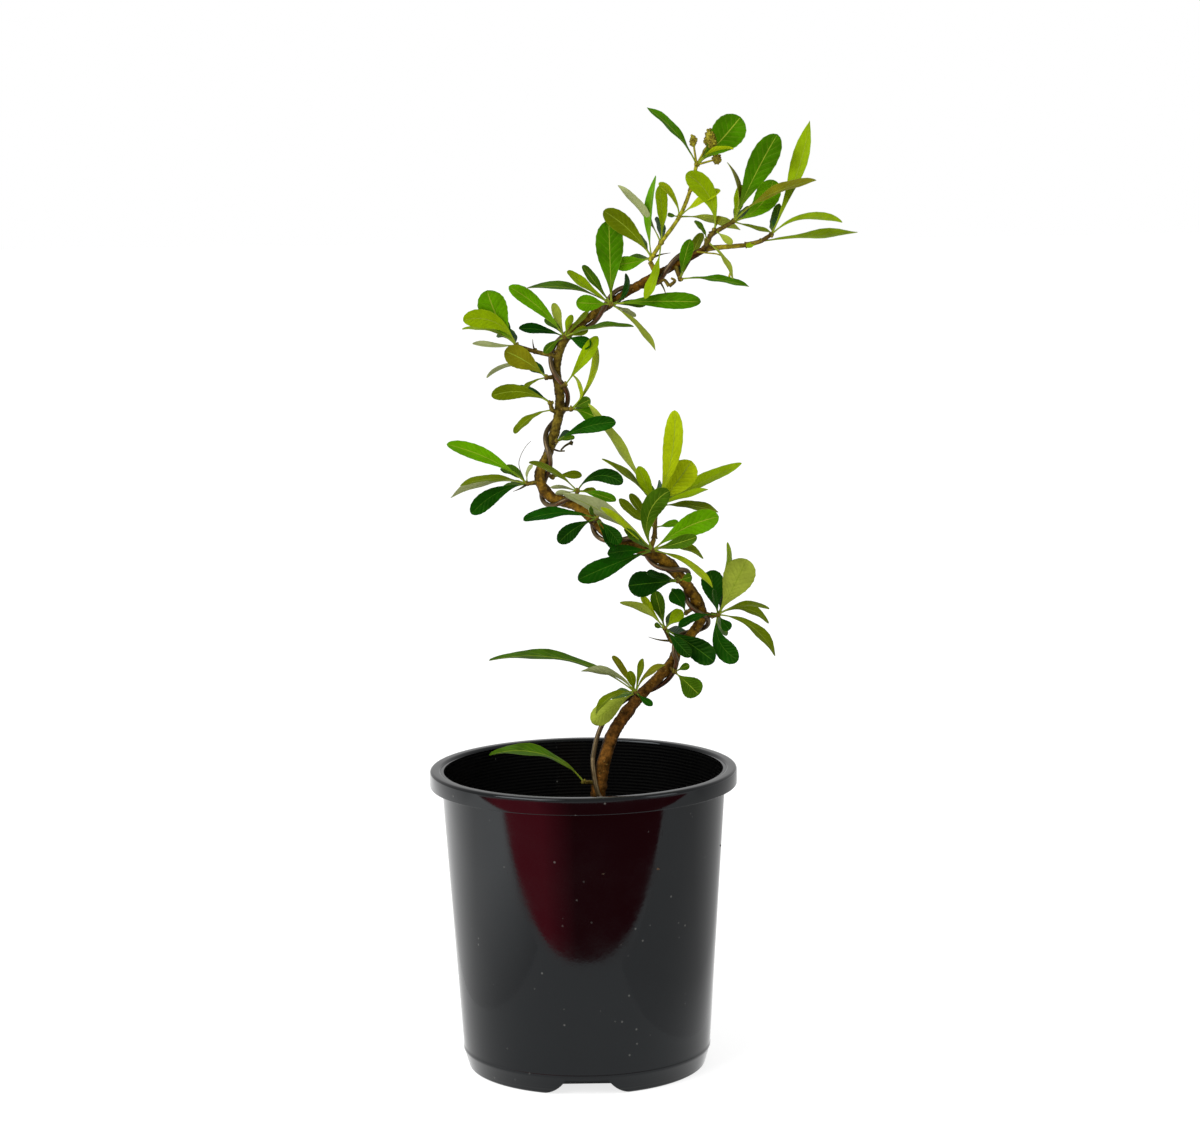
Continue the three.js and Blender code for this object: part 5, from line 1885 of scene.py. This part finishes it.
def make_camera(settings):
    """The photograph's view: level with the top of the plant, tipped down and turned very slightly."""
    data = bpy.data.cameras.new("camera")
    data.lens = settings.lens
    data.sensor_width = 36.0
    data.sensor_fit = "HORIZONTAL"
    data.clip_start = 0.05
    data.clip_end = 50.0
    camera = linked("camera", data)
    pitch = math.radians(CAMERA["pitch"])
    roll = math.radians(CAMERA["roll"])
    ahead = Vector((0, math.cos(pitch), math.sin(pitch)))
    right = Vector((1, 0, 0))
    up = right.cross(ahead)
    turned_right = right * math.cos(roll) - up * math.sin(roll)
    turned_up = right * math.sin(roll) + up * math.cos(roll)
    turn = Matrix((turned_right, turned_up, -ahead)).transposed()
    camera.matrix_world = Matrix.Translation(CAMERA["place"]) @ turn.to_4x4()
    bpy.context.scene.camera = camera


class OBJECT_OT_firethorn_stage(bpy.types.Operator):
    """Sets the pale floor, the soft lights, the cards that the pot mirrors, and the camera"""

    bl_idname = "object.firethorn_stage"
    bl_label = "Stage"

    def execute(self, context):
        settings = context.scene.firethorn_stage
        world = bpy.data.worlds.new("studio")
        world.use_nodes = True
        tree = world.node_tree
        seen = node(tree, "ShaderNodeLightPath").outputs["Is Camera Ray"]
        strength = stretch(tree, seen, 0.0, 1.0, settings.sky, 1.0)
        feed(tree, tree.nodes["Background"], {"Color": (1, 1, 1, 1), "Strength": strength})
        context.scene.world = world
        reach = FLOOR_REACH
        corners = [(-reach, -reach, 0), (reach, -reach, 0), (reach, reach, 0), (-reach, reach, 0)]
        plain_piece("studio_floor", corners, floor_material())
        corners = [(x, y, MAROON_HEIGHT) for x, y in MAROON_CORNERS]
        shine_card("maroon_card", corners, front_glow("maroon_card", MAROON))
        far, front, back, height = SIDE_REACH
        for name, side, inner, outer, at_back, at_front in SIDE_CARDS:
            near = inner * side
            corners = [(near, front), (far * side, front), (far * side, back), (near, back)]
            corners = [(x, y, height) for x, y in corners[::side]]
            shine_card(name, corners, side_glow(name, side, inner, outer, at_back, at_front))
        area_light("key_light", (-1.3, -1.1, 1.5), LIT, (1.5, 1.7), settings.key)
        area_light("fill_light", (1.6, -0.9, 0.9), LIT, (0.8, 1.1), settings.fill)
        make_camera(settings)
        context.scene.view_settings.view_transform = "Standard"
        return {"FINISHED"}


class VIEW3D_PT_firethorn(bpy.types.Panel):
    """Lists the pieces and their settings"""

    bl_label = "Potted firethorn"
    bl_idname = "VIEW3D_PT_firethorn"
    bl_space_type = "VIEW_3D"
    bl_region_type = "UI"
    bl_category = "Firethorn"

    def draw(self, context):
        for operator, _, group in PIECES:
            box = self.layout.box()
            box.operator(operator.bl_idname)
            settings = getattr(context.scene, group)
            for name in settings.bl_rna.properties.keys():
                if name not in ("rna_type", "name"):
                    box.prop(settings, name)


# Each operator with its settings and their name in the scene
PIECES = [
    (OBJECT_OT_firethorn_pot, FirethornPotSettings, "firethorn_pot"),
    (OBJECT_OT_firethorn_soil, FirethornSoilSettings, "firethorn_soil"),
    (OBJECT_OT_firethorn_trunk, FirethornBarkSettings, "firethorn_bark"),
    (OBJECT_OT_firethorn_wire, FirethornWireSettings, "firethorn_wire"),
    (OBJECT_OT_firethorn_foliage, FirethornLeafSettings, "firethorn_leaves"),
    (OBJECT_OT_firethorn_stage, FirethornStageSettings, "firethorn_stage"),
]
CLASSES = [*(row[1] for row in PIECES), *(row[0] for row in PIECES), VIEW3D_PT_firethorn]


def register():
    for cls in CLASSES:
        bpy.utils.register_class(cls)
    for _, settings, group in PIECES:
        setattr(bpy.types.Scene, group, bpy.props.PointerProperty(type=settings))


def unregister():
    for _, _, group in PIECES:
        delattr(bpy.types.Scene, group)
    for cls in reversed(CLASSES):
        bpy.utils.unregister_class(cls)


def main():
    """Makes the stage and the potted plant."""
    register()
    bpy.ops.object.firethorn_stage()
    bpy.ops.object.firethorn_pot()
    bpy.ops.object.firethorn_soil()
    bpy.ops.object.firethorn_trunk()
    bpy.ops.object.firethorn_wire()
    bpy.ops.object.firethorn_foliage()


if __name__ == "__main__":
    main()
